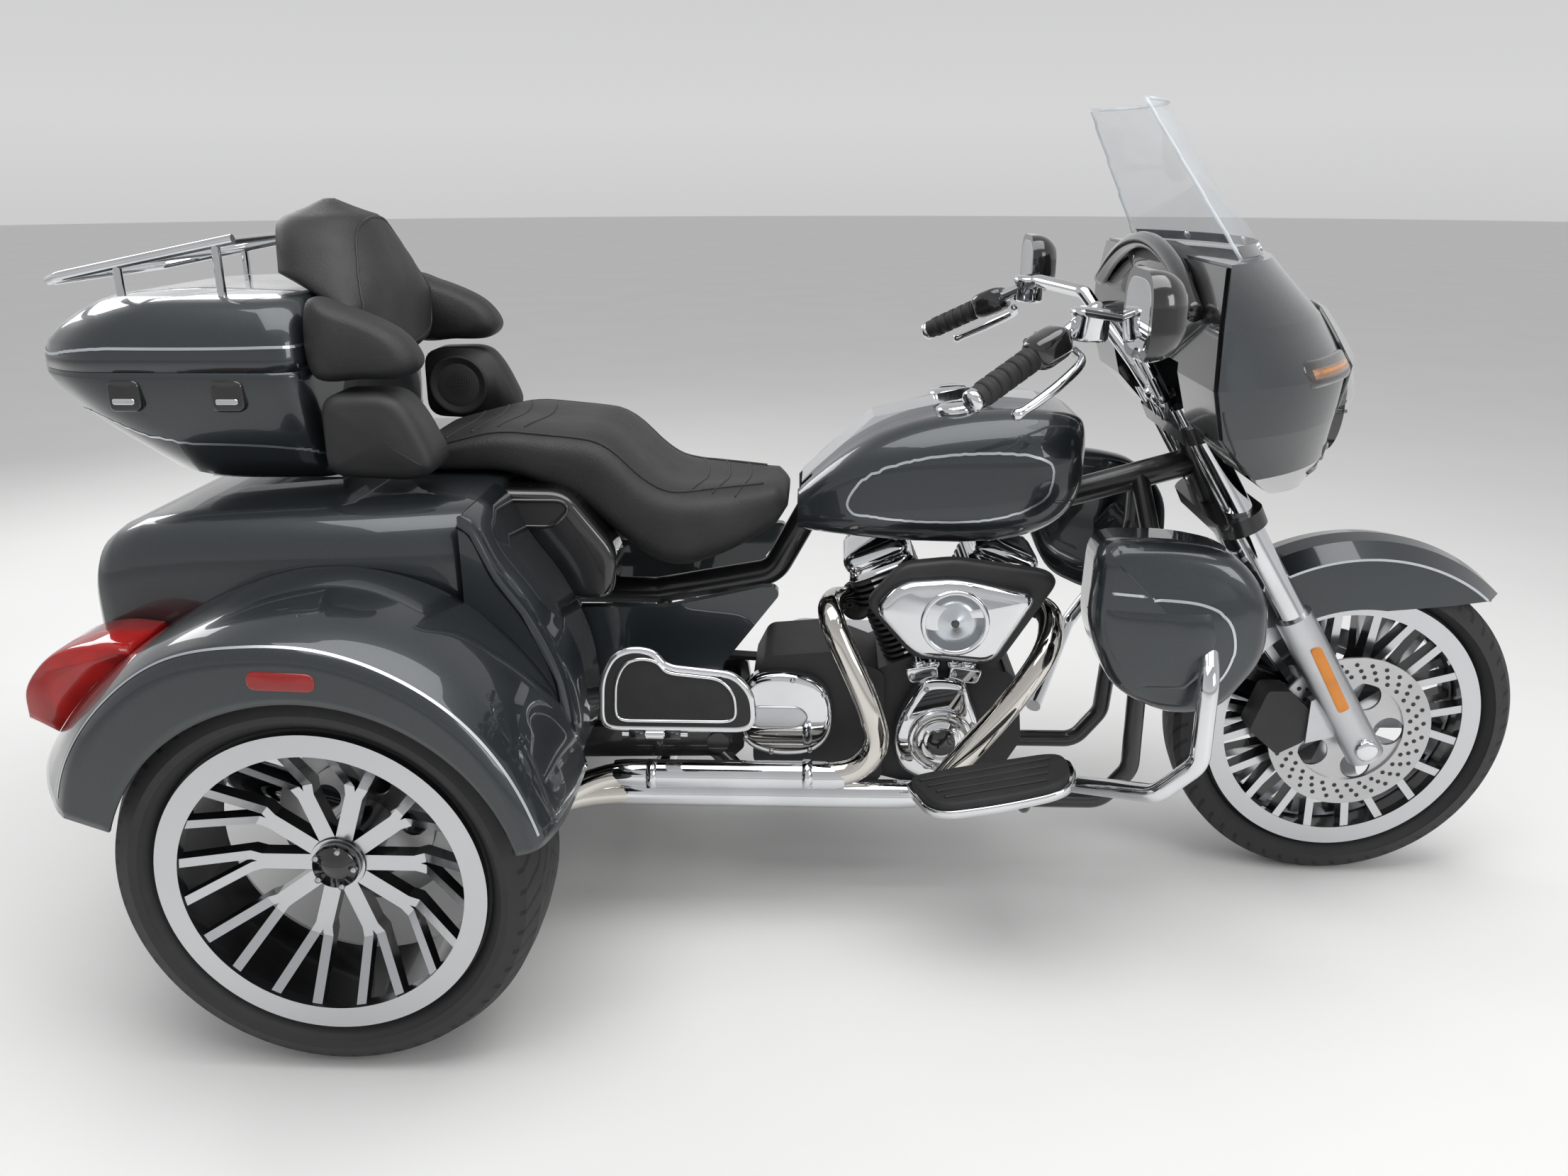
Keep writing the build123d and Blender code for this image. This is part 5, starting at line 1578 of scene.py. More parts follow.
@dataclass
class Seat:
    """The stitched two-up seat, a crowned form worked out from the plain solid."""

    stations: int = 64
    corners: int = 56
    squareness: float = 0.42
    crown: float = 0.006
    dish: float = 0.012
    shape: tuple[tuple[float, float, float], ...] = (
        (0.006, 0.150, 0.823), (0.060, 0.172, 0.823), (0.190, 0.181, 0.823), (0.300, 0.184, 0.772),
        (0.366, 0.186, 0.712), (0.425, 0.186, 0.662), (0.480, 0.184, 0.644), (0.560, 0.163, 0.668),
        (0.630, 0.118, 0.702), (0.684, 0.080, 0.738))

    def measure(self, surface: Surface, x: float) -> tuple[float, float, float]:
        """Half width and bottom from the seat's own stations, and the top of the plain solid."""
        top = surface.tree.ray_cast(Vector((x, 0, 2)), Vector((0, 0, -1)))[0][2]
        table = np.array(self.shape)
        half = float(np.interp(x - REAR_AXLE_X, table[:, 0], table[:, 1]))
        foot = float(np.interp(x - REAR_AXLE_X, table[:, 0], table[:, 2]))
        return half, foot, top

    def loops(self, surface: Surface) -> np.ndarray:
        """Cross sections from the back to the front.

        With u from -1 to 1 across the seat, the top is crowned by crown (1 - u^2) and dished by
        dish exp(-(u / 0.45)^2) in the two places to sit; the ends close in over the last 2 cm.
        """
        low, high = (np.array(c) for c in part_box("seat"))
        along = np.linspace(0.0, 1.0, self.stations)
        x = low[0] + 0.002 + (high[0] - low[0] - 0.004) * (1 - np.cos(np.pi * along)) / 2
        turn = full_turn(self.corners)
        c, s = np.cos(turn), np.sin(turn)
        across = boxed(c, self.squareness)
        height = boxed(s, self.squareness + 0.12)
        rows = averaged(np.array([self.measure(surface, value) for value in x]), 2)
        end = np.minimum(1.0, np.sqrt(np.clip(np.minimum(x - low[0], high[0] - x) / 0.022, 0.02, 1)))
        loops = []
        for (half, foot, top), close, at in zip(rows, end, x):
            middle, reach = (top + foot) / 2, (top - foot) / 2 * close
            u = across
            lift = np.where(height > 0, self.crown * (1 - u ** 2), 0)
            rider = math.exp(-((at - low[0] - 0.52) / 0.10) ** 2)
            rear = 0.6 * math.exp(-((at - low[0] - 0.20) / 0.11) ** 2)
            lift = lift - np.where(height > 0, self.dish * (rider + rear) * np.exp(-(u / 0.45) ** 2), 0)
            z = middle + reach * height + lift * close
            y = (half - 0.004) * across * (0.90 + 0.10 * close)
            loops.append(np.stack([np.full_like(y, at), y, z], axis=1))
        return np.array(loops)

    def build(self) -> None:
        """Makes the leather form, its piping and its stitched lines."""
        plain = Surface.named("seat")
        form = loop_skin("seat_leather", self.loops(plain), SEAT_VINYL, "chassis")
        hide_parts("seat")
        top = Surface(form)
        low, high = (np.array(c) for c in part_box("seat"))
        for side in SIDES:
            edge = [(low[0] + t * (high[0] - low[0]),
                     side * (0.153 if t < 0.66 else 0.153 - 0.30 * (t - 0.66)), 0.95)
                    for t in np.linspace(0.05, 0.93, 12)]
            line, _ = top.near(smooth_path(self.dropped(top, np.array(edge)), 110), 0.0005)
            tube(f"seat_piping_{side}", line, 0.0028, SEAT_VINYL, "chassis", 8)
        for k, t in enumerate((0.10, 0.17, 0.24, 0.31, 0.74, 0.80, 0.86)):
            x = low[0] + t * (high[0] - low[0])
            cross = np.array([(x + 0.02 * (1 - (v / 0.13) ** 2), v, 0.95)
                              for v in np.linspace(-0.13, 0.13, 7)])
            line, _ = top.near(smooth_path(self.dropped(top, cross), 40), 0.0003)
            tube(f"seat_seam_{k}", line, 0.0016, SEAT_VINYL, "chassis", 6)

    def dropped(self, surface: Surface, points: np.ndarray) -> np.ndarray:
        """Drops points straight down on a surface; those that miss keep their place."""
        result = points.copy()
        for i, point in enumerate(points):
            hit = surface.tree.ray_cast(Vector((point[0], point[1], 2)), Vector((0, 0, -1)))[0]
            if hit:
                result[i, 2] = hit[2]
        return result


@dataclass
class Backrest:
    """The passenger's wraparound backrest: a domed pad and two padded arms."""

    loops: int = 40
    corners: int = 48
    dome: tuple[tuple[float, float], ...] = (
        (1.004, 0.205), (1.100, 0.212), (1.165, 0.165), (1.225, 0.122), (1.260, 0.075), (1.278, 0.035))

    def pad(self, surface: Surface) -> bpy.types.Object:
        """The pad, worked out at each height from the plain solid.

        A section at height z is the superellipse |x / a|^2.6 + |y / b|^2.6 = 1, with a and b read off
        the solid, drawn in towards the top and the foot over the last 3 cm.
        """
        low, high = (np.array(c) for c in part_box("backrest"))
        heights = np.linspace(low[2] + 0.002, high[2] - 0.002, self.loops)
        turn = full_turn(self.corners)
        c, s = np.cos(turn), np.sin(turn)
        across, along = boxed(c, 0.77), boxed(s, 0.77)
        rows = []
        for z in heights:
            front = surface.tree.ray_cast(Vector((2, 0, z)), Vector((-1, 0, 0)))[0][0]
            back = surface.tree.ray_cast(Vector((-2, 0, z)), Vector((1, 0, 0)))[0][0]
            rows.append((front, back, float(np.interp(z, *np.array(self.dome).T))))
        loops = []
        for (front, back, half), z in zip(averaged(np.array(rows), 3), heights):
            close = min(1.0, math.sqrt(max(0.03, min(high[2] - z, z - low[2] + 0.012) / 0.03)))
            x = (front + back) / 2 + (front - back) / 2 * along * close
            loops.append(np.stack([x, half * across * close, np.full_like(x, z)], axis=1))
        return loop_skin("backrest_leather", np.array(loops), SEAT_VINYL, "tour_box_lid")

    def arm(self, side: float) -> bpy.types.Object:
        """One arm: its rounded side view, drawn in towards both faces."""
        outline = smooth_path(side_line([(-0.086, 1.010), (0.000, 1.004), (0.066, 1.008), (0.088, 1.036),
                                         (0.052, 1.082), (-0.030, 1.118), (-0.084, 1.124)]), 56, closed=True)
        loops = []
        for t in np.linspace(-1, 1, 15):
            ring = scaled(outline, (1 - abs(t) ** 3.2 * 0.34) * (0.999 if abs(t) < 1 else 0.97))
            ring[:, 1] = side * (0.2525 + 0.0475 * t)
            loops.append(ring)
        return loop_skin(f"backrest_arm_{side}", np.array(loops), SEAT_VINYL, "tour_box_lid")

    def build(self) -> None:
        """Makes pad and arms in place of the plain solid, with piping round the pad's face."""
        surface = Surface.named("backrest")
        forms = [self.pad(surface), self.arm(-1), self.arm(1)]
        for form in forms:
            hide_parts("backrest")
        face = Surface(forms[0])
        loop = from_rear_axle([(0.1, -0.165, 1.04), (0.1, -0.178, 1.10), (0.1, -0.135, 1.165),
                               (0.1, -0.075, 1.228), (0.1, 0.0, 1.244), (0.1, 0.075, 1.228),
                               (0.1, 0.135, 1.165), (0.1, 0.178, 1.10), (0.1, 0.165, 1.04),
                               (0.1, 0.0, 1.024)])
        path = smooth_path(loop, 120, True)
        line = []
        for point in path:
            hit = face.tree.ray_cast(Vector(point), Vector((-1, 0, 0)))
            line.append(hit[0][:] if hit[0] else point)
        tube("backrest_piping", np.array(line), 0.0026, SEAT_VINYL, "tour_box_lid", 8, True)


# Front end


@dataclass
class Controls:
    """Grip ends, switch housings, levers and reservoirs on the bar, and the risers under it."""

    def housing(self, side: float) -> None:
        """The switch housing, a rounded block round the bar just inboard of the grip."""
        middle = spot(1.068, side * 0.338, 1.066)
        ahead = np.array([0.816, -side * 0.577, 0.42])
        ahead /= np.linalg.norm(ahead)
        loops = []
        turn = full_turn(28)
        across = np.cross(ahead, [0, 0, 1.0])
        across /= np.linalg.norm(across)
        top = np.cross(across, ahead)
        for t in np.linspace(-1, 1, 9):
            r = 0.026 * (1 - 0.28 * abs(t) ** 4)
            ring = (boxed(np.cos(turn), 0.6)[:, None] * across * r
                    + boxed(np.sin(turn), 0.6)[:, None] * top * r)
            loops.append(middle + ahead * 0.034 * t + ring)
        loop_skin(f"switch_housing_{side}", np.array(loops), GLOSS_BLACK, "steering")
        for k, (a, b) in enumerate(((-0.012, 0.012), (0.010, 0.012), (-0.012, -0.010), (0.010, -0.010))):
            place = middle + ahead * a + top * b - across * 0.0262
            lathe(f"switch_{side}_{k}", [(0, -0.004), (0.0065, -0.004), (0.0060, 0.004), (0, 0.005)], place,
                  -across, BLACK_PLASTIC, "steering", 16)

    def reservoir(self, side: float) -> None:
        """The fluid reservoir with its lid, ahead of the housing."""
        foot = spot(1.136, side * 0.300, 1.072)
        profile = [(0, 0), (0.026, 0), (0.029, 0.006), (0.029, 0.036), (0.032, 0.038), (0.032, 0.045),
                   (0.027, 0.049), (0, 0.050)]
        lathe(f"reservoir_{side}", profile, foot, (0.05, 0, 1), CHROME, "steering", 40)

    def lever(self, side: float) -> None:
        """The brake or clutch lever: a bar that swells to a ball at its end."""
        points = from_rear_axle([(1.112, side * 0.312, 1.060), (1.118, side * 0.345, 1.046),
                                 (1.085, side * 0.385, 1.022), (1.040, side * 0.420, 0.996),
                                 (1.008, side * 0.438, 0.980)])
        path = smooth_path(points, 26)
        radii = 0.0062 + 0.002 * np.sin(np.linspace(0, np.pi, 26))
        radii[-3:] = (0.0085, 0.0095, 0.006)
        tube(f"lever_{side}", path, radii, CHROME, "steering", 14)

    def riser(self, side: float) -> None:
        """The bar clamp between the upper fork clamp and the bar."""
        foot = spot(1.350, side * 0.026, 0.905)
        lathe(f"riser_{side}", [(0, 0), (0.017, 0), (0.017, 0.026), (0.021, 0.030), (0.021, 0.046),
                                (0.015, 0.052), (0, 0.052)], foot, (-0.438, 0, 0.899), CHROME, "steering",
              28)

    def grip(self, side: float) -> None:
        """Rubber ribs round the grip and a chrome end cap."""
        start = spot(0.948, side * 0.4245, 0.9985)
        ahead = spot(1.060, side * 0.345, 1.062) - start
        ahead /= np.linalg.norm(ahead)
        lathe(f"grip_end_{side}", [(0, -0.006), (0.014, -0.005), (0.0185, 0), (0.0185, 0.010), (0, 0.010)],
              start, ahead, CHROME, "steering", 28)
        for k in range(5):
            place = start + ahead * (0.024 + 0.021 * k)
            lathe(f"grip_rib_{side}_{k}", [(0.0178, 0), (0.0200, 0.001), (0.0200, 0.013), (0.0178, 0.014),
                                           (0.0178, 0)], place, ahead, RUBBER, "steering", 28)

    def mirror(self, side: float) -> None:
        """The mirror's glass, lying on the rear face of its shell."""
        turn = full_turn(40)
        c, s = np.cos(turn), np.sin(turn)
        loops = []
        for t in (1.0, 0.96, 0.5, 0.02):
            y = side * 0.488 + 0.070 * t * boxed(c, 0.6)
            z = 1.132 + 0.050 * t * boxed(s, 0.6)
            x = np.full(40, REAR_AXLE_X + (1.1595 if t < 1 else 1.1605))
            loops.append(np.stack([x, y, z], axis=1))
        points = np.concatenate(loops)
        faces = [list(f) for f in grid_faces(4, 40, False, True).tolist()]
        faces.append(list(range(120, 160)))
        mesh_piece(f"mirror_glass_{side}", points, faces, MIRROR_GLASS, "steering", False)

    def build(self) -> None:
        """Makes both hands' controls."""
        for side in SIDES:
            self.housing(side)
            self.reservoir(side)
            self.lever(side)
            self.riser(side)
            self.grip(side)
            self.mirror(side)


@dataclass
class FairingTrim:
    """Lamp lenses, vents, the windshield's trim, and the dials, screen and speakers inside the fairing."""

    body: str = "steering"

    def lamp(self, on: Surface) -> None:
        """The wide lamp across the nose: a dark base, bright elements and a clear cover."""
        base = [(0.925, -0.085, 0.085), (0.965, -0.135, 0.135), (1.010, -0.165, 0.165),
                (1.045, -0.160, 0.160), (1.085, -0.120, 0.120), (1.105, -0.075, 0.075)]
        panel("lamp_base", on, View.FRONT, base, 0.004, GLOSS_BLACK, self.body, 40, 30)
        for k, (y, z, r) in enumerate(((-0.052, 1.000, 0.026), (0.052, 1.000, 0.026), (0.0, 1.052, 0.017),
                                       (0.0, 0.958, 0.017))):
            rows = [(z + r * t, y - r * math.sqrt(1 - t * t) - 0.002, y + r * math.sqrt(1 - t * t) + 0.002)
                    for t in np.linspace(-0.98, 0.98, 9)]
            panel(f"lamp_element_{k}", on, View.FRONT, rows, 0.011, CHROME, self.body, 18, 18)
        ring = smooth_path(np.array([(0.9, a, b) for b, a, _ in base]
                                    + [(0.9, c, b) for b, _, c in base[::-1]]), 90, True)
        line = np.array([cast(on, View.FRONT, y, z)[0] + (0.004, 0, 0) for _, y, z in ring])
        tube("lamp_ring", line, 0.0042, GLOSS_BLACK, self.body, 10, True)
        cover = [(b, 0.97 * a0, 0.97 * a1) for b, a0, a1 in base]
        panel("lamp_cover", on, View.FRONT, cover, 0.017, CLEAR_COVER, self.body, 40, 30)
        for side in SIDES:
            rows = sided([(1.004, 0.185, 0.335), (1.020, 0.182, 0.340), (1.034, 0.180, 0.342),
                          (1.046, 0.184, 0.336)], side)
            panel(f"turn_signal_{side}", on, View.FRONT, rows, 0.007, LAMP_GLASS, self.body, 30, 12)
            amber = sided([(1.018, 0.190, 0.330), (1.032, 0.190, 0.330)], side)
            panel(f"turn_signal_amber_{side}", on, View.FRONT, amber, 0.0078, AMBER_LENS, self.body, 24, 4)

    def chin(self, on: Surface) -> None:
        """The lower air vents, dark openings with a bright lip."""
        for side in SIDES:
            rows = sided([(0.812, 0.050, 0.100), (0.840, 0.060, 0.150), (0.872, 0.070, 0.200),
                          (0.892, 0.110, 0.215)], side)
            panel(f"chin_vent_{side}", on, View.FRONT, rows, 0.002, BLACK_PLASTIC, self.body, 20, 12)
            for k, z in enumerate((0.838, 0.860, 0.880)):
                bar = sided([(z, 0.070, 0.185), (z + 0.005, 0.070, 0.185)], side)
                panel(f"chin_bar_{side}_{k}", on, View.FRONT, bar, 0.005, GLOSS_BLACK, self.body, 16, 4)

    def seam(self, on: Surface) -> None:
        """The joint between the painted nose and the black inner shell, with a bright line ahead of it."""
        for side in SIDES:
            points = [(1.262, 1.180), (1.280, 1.130), (1.288, 1.060), (1.296, 1.000), (1.312, 0.958),
                      (1.345, 0.908), (1.385, 0.872)]
            path = side_line([(x + 0.012, z) for x, z in points], side * 0.42)
            stripe(f"fairing_seam_{side}", on, path, 0.003, BLACK_PLASTIC, self.body, 80)
            band = from_rear_axle([(1.300 + 0.01, side * 0.40, 1.046), (1.38, side * 0.36, 1.046),
                                   (1.45, side * 0.29, 1.044)])
            stripe(f"fairing_band_{side}", on, band, 0.0035, SILVER, self.body, 60)

    def windshield_trim(self) -> None:
        """A gloss strip along the windshield's foot with three screws, and its rounded rim."""
        low, high = (np.array(c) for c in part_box("windshield"))
        glass = Surface.named("windshield")
        foot, rim = (
            np.array([found[0] for y in np.linspace(-reach, reach, count)
                      if (found := cast(glass, View.FRONT, y, z))])
            for reach, count, z in ((0.315, 40, low[2] + 0.012), (0.188, 30, high[2] - 0.003)))
        stripe("windshield_foot", glass, foot, 0.020, GLOSS_BLACK, self.body, 90, lift=0.001)
        tube("windshield_rim", rim, 0.0028, CLEAR_RIM, self.body, 8)
        for side in SIDES:
            edge = []
            for z in np.linspace(low[2] + 0.004, high[2] - 0.004, 24):
                for y in np.linspace(0.40, 0.10, 120):
                    found = cast(glass, View.FRONT, side * y, z)
                    if found:
                        edge.append(found[0])
                        break
            tube(f"windshield_edge_{side}", np.array(edge), 0.0028, CLEAR_RIM, self.body, 8)
        for k, y in enumerate((-0.20, 0.0, 0.20)):
            found = cast(glass, View.FRONT, y, low[2] + 0.014)
            lathe(f"windshield_screw_{k}", [(0, -0.001), (0.008, -0.001), (0.0075, 0.003), (0, 0.004)],
                  found[0], found[1], CHROME, self.body, 20)

    def dash(self) -> None:
        """Inside the fairing: a dash face with the screen, two big dials, and a speaker on each side."""
        x = REAR_AXLE_X + 1.335
        turn = full_turn(60)
        c, s = np.cos(turn), np.sin(turn)
        loops = []
        for dx, scale in ((0.030, 0.97), (0.004, 1.0), (-0.004, 0.985), (-0.012, 0.93), (-0.012, 0.02)):
            y = 0.385 * scale * boxed(c, 0.55)
            z = 1.108 + 0.078 * scale * boxed(s, 0.6) - 0.10 * (y / 0.42) ** 2 + 0.02
            loops.append(np.stack([np.full(60, x + dx) - 0.03 * (1 - (y / 0.385) ** 2), y, z], axis=1))
        face = loop_skin("dash_face", np.array(loops), BLACK_PLASTIC, self.body)
        on = Surface(face)
        rows = [(1.050, -0.135, 0.135), (1.110, -0.138, 0.138), (1.172, -0.135, 0.135)]
        panel("dash_screen", on, View.REAR, rows, 0.006, SCREEN_GLASS, self.body, 30, 16)
        for side in SIDES:
            foot = cast(on, View.REAR, side * 0.262, 1.094)[0]
            lathe(f"speaker_ring_{side}", [(0.052, -0.004), (0.060, -0.004), (0.060, 0.008), (0.054, 0.011),
                                           (0.052, -0.004)], foot, (-1, 0, 0.05), GLOSS_BLACK, self.body, 48)
            lathe(f"speaker_cone_{side}", [(0, 0.001), (0.053, 0.001), (0.053, 0.005), (0.030, 0.009),
                                           (0, 0.011)], foot, (-1, 0, 0.05), GRILLE, self.body, 40)
        hood = smooth_path(np.array([(x - 0.050, y, 1.205 - 0.09 * (y / 0.33) ** 2)
                                     for y in np.linspace(-0.33, 0.33, 9)]), 60)
        tube("dash_hood", hood, 0.014, GLOSS_BLACK, self.body, 14)

    def build(self) -> None:
        """Makes every trim of the fairing."""
        on = Surface.named("fairing")
        both = Surface.named("fairing", "headlamp")
        self.lamp(both)
        self.chin(on)
        self.seam(on)
        self.windshield_trim()
        self.dash()


# Luggage and bodywork trim


@dataclass
class Luggage:
    """Pods, latch, hinges, seam strips and reflectors of the tour box, and the trunk's handles."""

    def pod(self, side: float) -> None:
        """A rounded speaker pod beside the passenger, with a round grille on its inner face."""
        outline = rounded([(-0.068, 0.852), (-0.066, 0.985), (0.050, 0.988), (0.082, 0.950), (0.118, 0.868),
                           (0.078, 0.845)], 0.034)
        form = Plate.flank(side).crowned(f"speaker_pod_{side}", outline, 0.226, 0.317, 0.024, 0.006,
                                         BLACK_PLASTIC, "chassis")
        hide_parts("speaker_pods")
        centre = spot(-0.002, side * 0.2265, 0.914)
        axis = (0, -side, 0)
        lathe(f"pod_ring_{side}", [(0.058, -0.002), (0.060, 0.003), (0.055, 0.006), (0.052, 0.003)], centre,
              axis, BLACK_PLASTIC, "chassis", 48)
        lathe(f"pod_grille_{side}", [(0.053, 0.001), (0.040, 0.0035), (0.020, 0.005), (0, 0.0055)], centre,
              axis, GRILLE, "chassis", 48)

    def strips(self, box: Surface, lid: Surface) -> None:
        """The black seam round the box under the lid, and the bright line at the lid's lower edge."""
        corners = [(-0.10, -0.30), (-0.10, 0.30), (-0.36, 0.305), (-0.52, 0.235), (-0.55, 0.16),
                   (-0.55, -0.16), (-0.52, -0.235), (-0.36, -0.305)]
        around = rounded(corners, 0.05, 6)
        for name, surface, z, width, kind, body in (
                ("box_seam", box, 1.0125, 0.011, BLACK_PLASTIC, "chassis"),
                ("lid_edge", lid, 1.0285, 0.006, CHROME, "tour_box_lid")):
            path = np.column_stack([around[:, 0] + REAR_AXLE_X, around[:, 1], np.full(len(around), z)])
            stripe(name, surface, path, width, kind, body, 160, closed=True, lift=0.0015)

    def latch(self, box: Surface) -> None:
        """The latch on the right, the hinges on the left and the reflectors at the rear corners."""
        for k, x in enumerate((-0.374, -0.208)):
            place, _ = cast(box, View.RIGHT, REAR_AXLE_X + x, 0.985)
            y = -place[1]
            plate = Plate.flank(-1)
            outline = rounded(rectangle(x - 0.026, x + 0.026, 0.958, 1.008), 0.012)
            plate.crowned(f"latch_{k}", outline, y - 0.012, y + 0.007, 0.004, 0.001, GLOSS_BLACK, "chassis")
            bar = rounded(rectangle(x - 0.018, x + 0.018, 0.970, 0.980), 0.004)
            plate.crowned(f"latch_bar_{k}", bar, y, y + 0.011, 0.002, 0, CHROME, "chassis")
        for k, x in enumerate((-0.420, -0.230)):
            place, _ = cast(box, View.LEFT, REAR_AXLE_X + x, 0.985)
            outline = rounded(rectangle(x - 0.022, x + 0.022, 0.962, 1.012), 0.008)
            Plate.flank(1).crowned(f"box_hinge_{k}", outline, place[1] - 0.012, place[1] + 0.004, 0.003, 0,
                                   BLACK_ENAMEL, "chassis")
        for side in SIDES:
            rows = sided([(0.948, 0.120, 0.205), (0.962, 0.110, 0.215), (0.980, 0.105, 0.218),
                          (0.992, 0.112, 0.205)], side)
            panel(f"box_reflector_{side}", box, View.REAR, rows, 0.005, RED_LENS, "chassis", 24, 10)

    def trunk(self, door: Surface) -> None:
        """The seam and handle of the rear door, the plate lamp, and the side markers on the fenders."""
        outline = rounded(rectangle(-0.318, 0.318, 0.512, 0.724), 0.03, 6)
        line = np.array([cast(door, View.REAR, y, z)[0] for y, z in outline])
        stripe("door_line", door, line, 0.003, SILVER, "trunk_door", 120, closed=True, lift=0.0010)
        rows = [(0.640, -0.070, 0.070), (0.650, -0.078, 0.078), (0.668, -0.078, 0.078),
                (0.678, -0.070, 0.070)]
        panel("door_handle", door, View.REAR, rows, 0.006, CHROME, "trunk_door", 24, 10)
        rows = [(0.545, -0.100, 0.100), (0.570, -0.105, 0.105), (0.600, -0.100, 0.100)]
        panel("plate_panel", door, View.REAR, rows, 0.003, BLACK_PLASTIC, "trunk_door", 24, 8)
        for side in SIDES:
            flank = Plate.flank(side)
            marker = rounded([(-0.049, 0.649), (0.046, 0.646), (0.046, 0.674), (-0.049, 0.677)], 0.015)
            flank.crowned(f"side_marker_{side}", marker, 0.688, 0.7000, 0.004, 0.001, RED_LENS, "chassis")

    def build(self) -> None:
        """Makes the luggage's trim."""
        box = Surface.named("tour_box_shell")
        lid = Surface.named("tour_box_lid_shell")
        for side in SIDES:
            self.pod(side)
        self.strips(box, lid)
        self.latch(box)
        self.trunk(Surface.named("trunk_door"))


@dataclass
class FrontTrim:
    """Lower fairings, fork reflectors, axle nuts and the tank's caps."""

    def lower_fairing(self, side: float) -> None:
        """The hollow leg shield with its raised door and silver line."""
        flank = Plate.flank(side)
        outline = rounded([(1.166, 0.768), (1.160, 0.622), (1.204, 0.520), (1.300, 0.474), (1.382, 0.484),
                           (1.446, 0.580), (1.440, 0.680), (1.384, 0.748), (1.290, 0.768)], 0.040)
        form = flank.crowned(f"leg_shield_{side}", outline, 0.273, 0.384, 0.036, 0.016, PAINT, "chassis",
                             0.004)
        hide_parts("lower_fairings")
        on = Surface(form)
        line = side_line([(1.172, 0.692), (1.25, 0.690), (1.325, 0.682), (1.372, 0.655), (1.390, 0.606),
                          (1.378, 0.550), (1.338, 0.512)], side * 0.42)
        stripe(f"leg_shield_line_{side}", on, smooth_path(line, 60), 0.0045, SILVER, "chassis", 60)
        rows = [(0.534, 1.236, 1.312), (0.572, 1.205, 1.340), (0.620, 1.182, 1.350), (0.664, 1.180, 1.338)]
        rows = [(z, REAR_AXLE_X + a, REAR_AXLE_X + b) for z, a, b in rows]
        panel(f"leg_shield_door_{side}", on, View.RIGHT if side < 0 else View.LEFT, rows, 0.0035, PAINT,
              "chassis")

    def fork(self, side: float, sliders: Surface) -> None:
        """The amber reflector on the slider and the axle's nut."""
        flank = Plate.flank(side)
        place, _ = cast(sliders, View.RIGHT if side < 0 else View.LEFT, REAR_AXLE_X + 1.640, 0.446)
        y = abs(place[1])
        strip = rounded([(1.598, 0.512), (1.616, 0.520), (1.684, 0.400), (1.666, 0.390)], 0.006)
        flank.crowned(f"fork_reflector_{side}", strip, y - 0.016, y + 0.004, 0.002, 0.001, AMBER_LENS,
                      "steering")
        lathe(f"axle_nut_{side}", [(0.008, -0.010), (0.019, -0.010), (0.020, -0.004), (0.020, 0.003),
                                   (0.016, 0.006), (0.008, 0.006)],
              spot(1.725, side * (y + 0.004), 0.318), (0, side, 0), CHROME, "steering", 36)

    def tank(self, tank: Surface) -> None:
        """Two round caps on the tank's top, with ribbed rims."""
        for side in SIDES:
            place, normal = cast(tank, View.TOP, REAR_AXLE_X + 0.965, side * 0.085)
            lathe(f"tank_cap_{side}", [(0.036, -0.004), (0.038, 0.000), (0.037, 0.008), (0.031, 0.012),
                                       (0.012, 0.0135), (0, 0.0136)], place, normal, CHROME, "chassis", 48)

    def build(self) -> None:
        """Makes the front's trim."""
        sliders, tank = Surface.named("fork_sliders"), Surface.named("fuel_tank")
        for side in SIDES:
            self.lower_fairing(side)
            self.fork(side, sliders)
        self.tank(tank)


# Studio


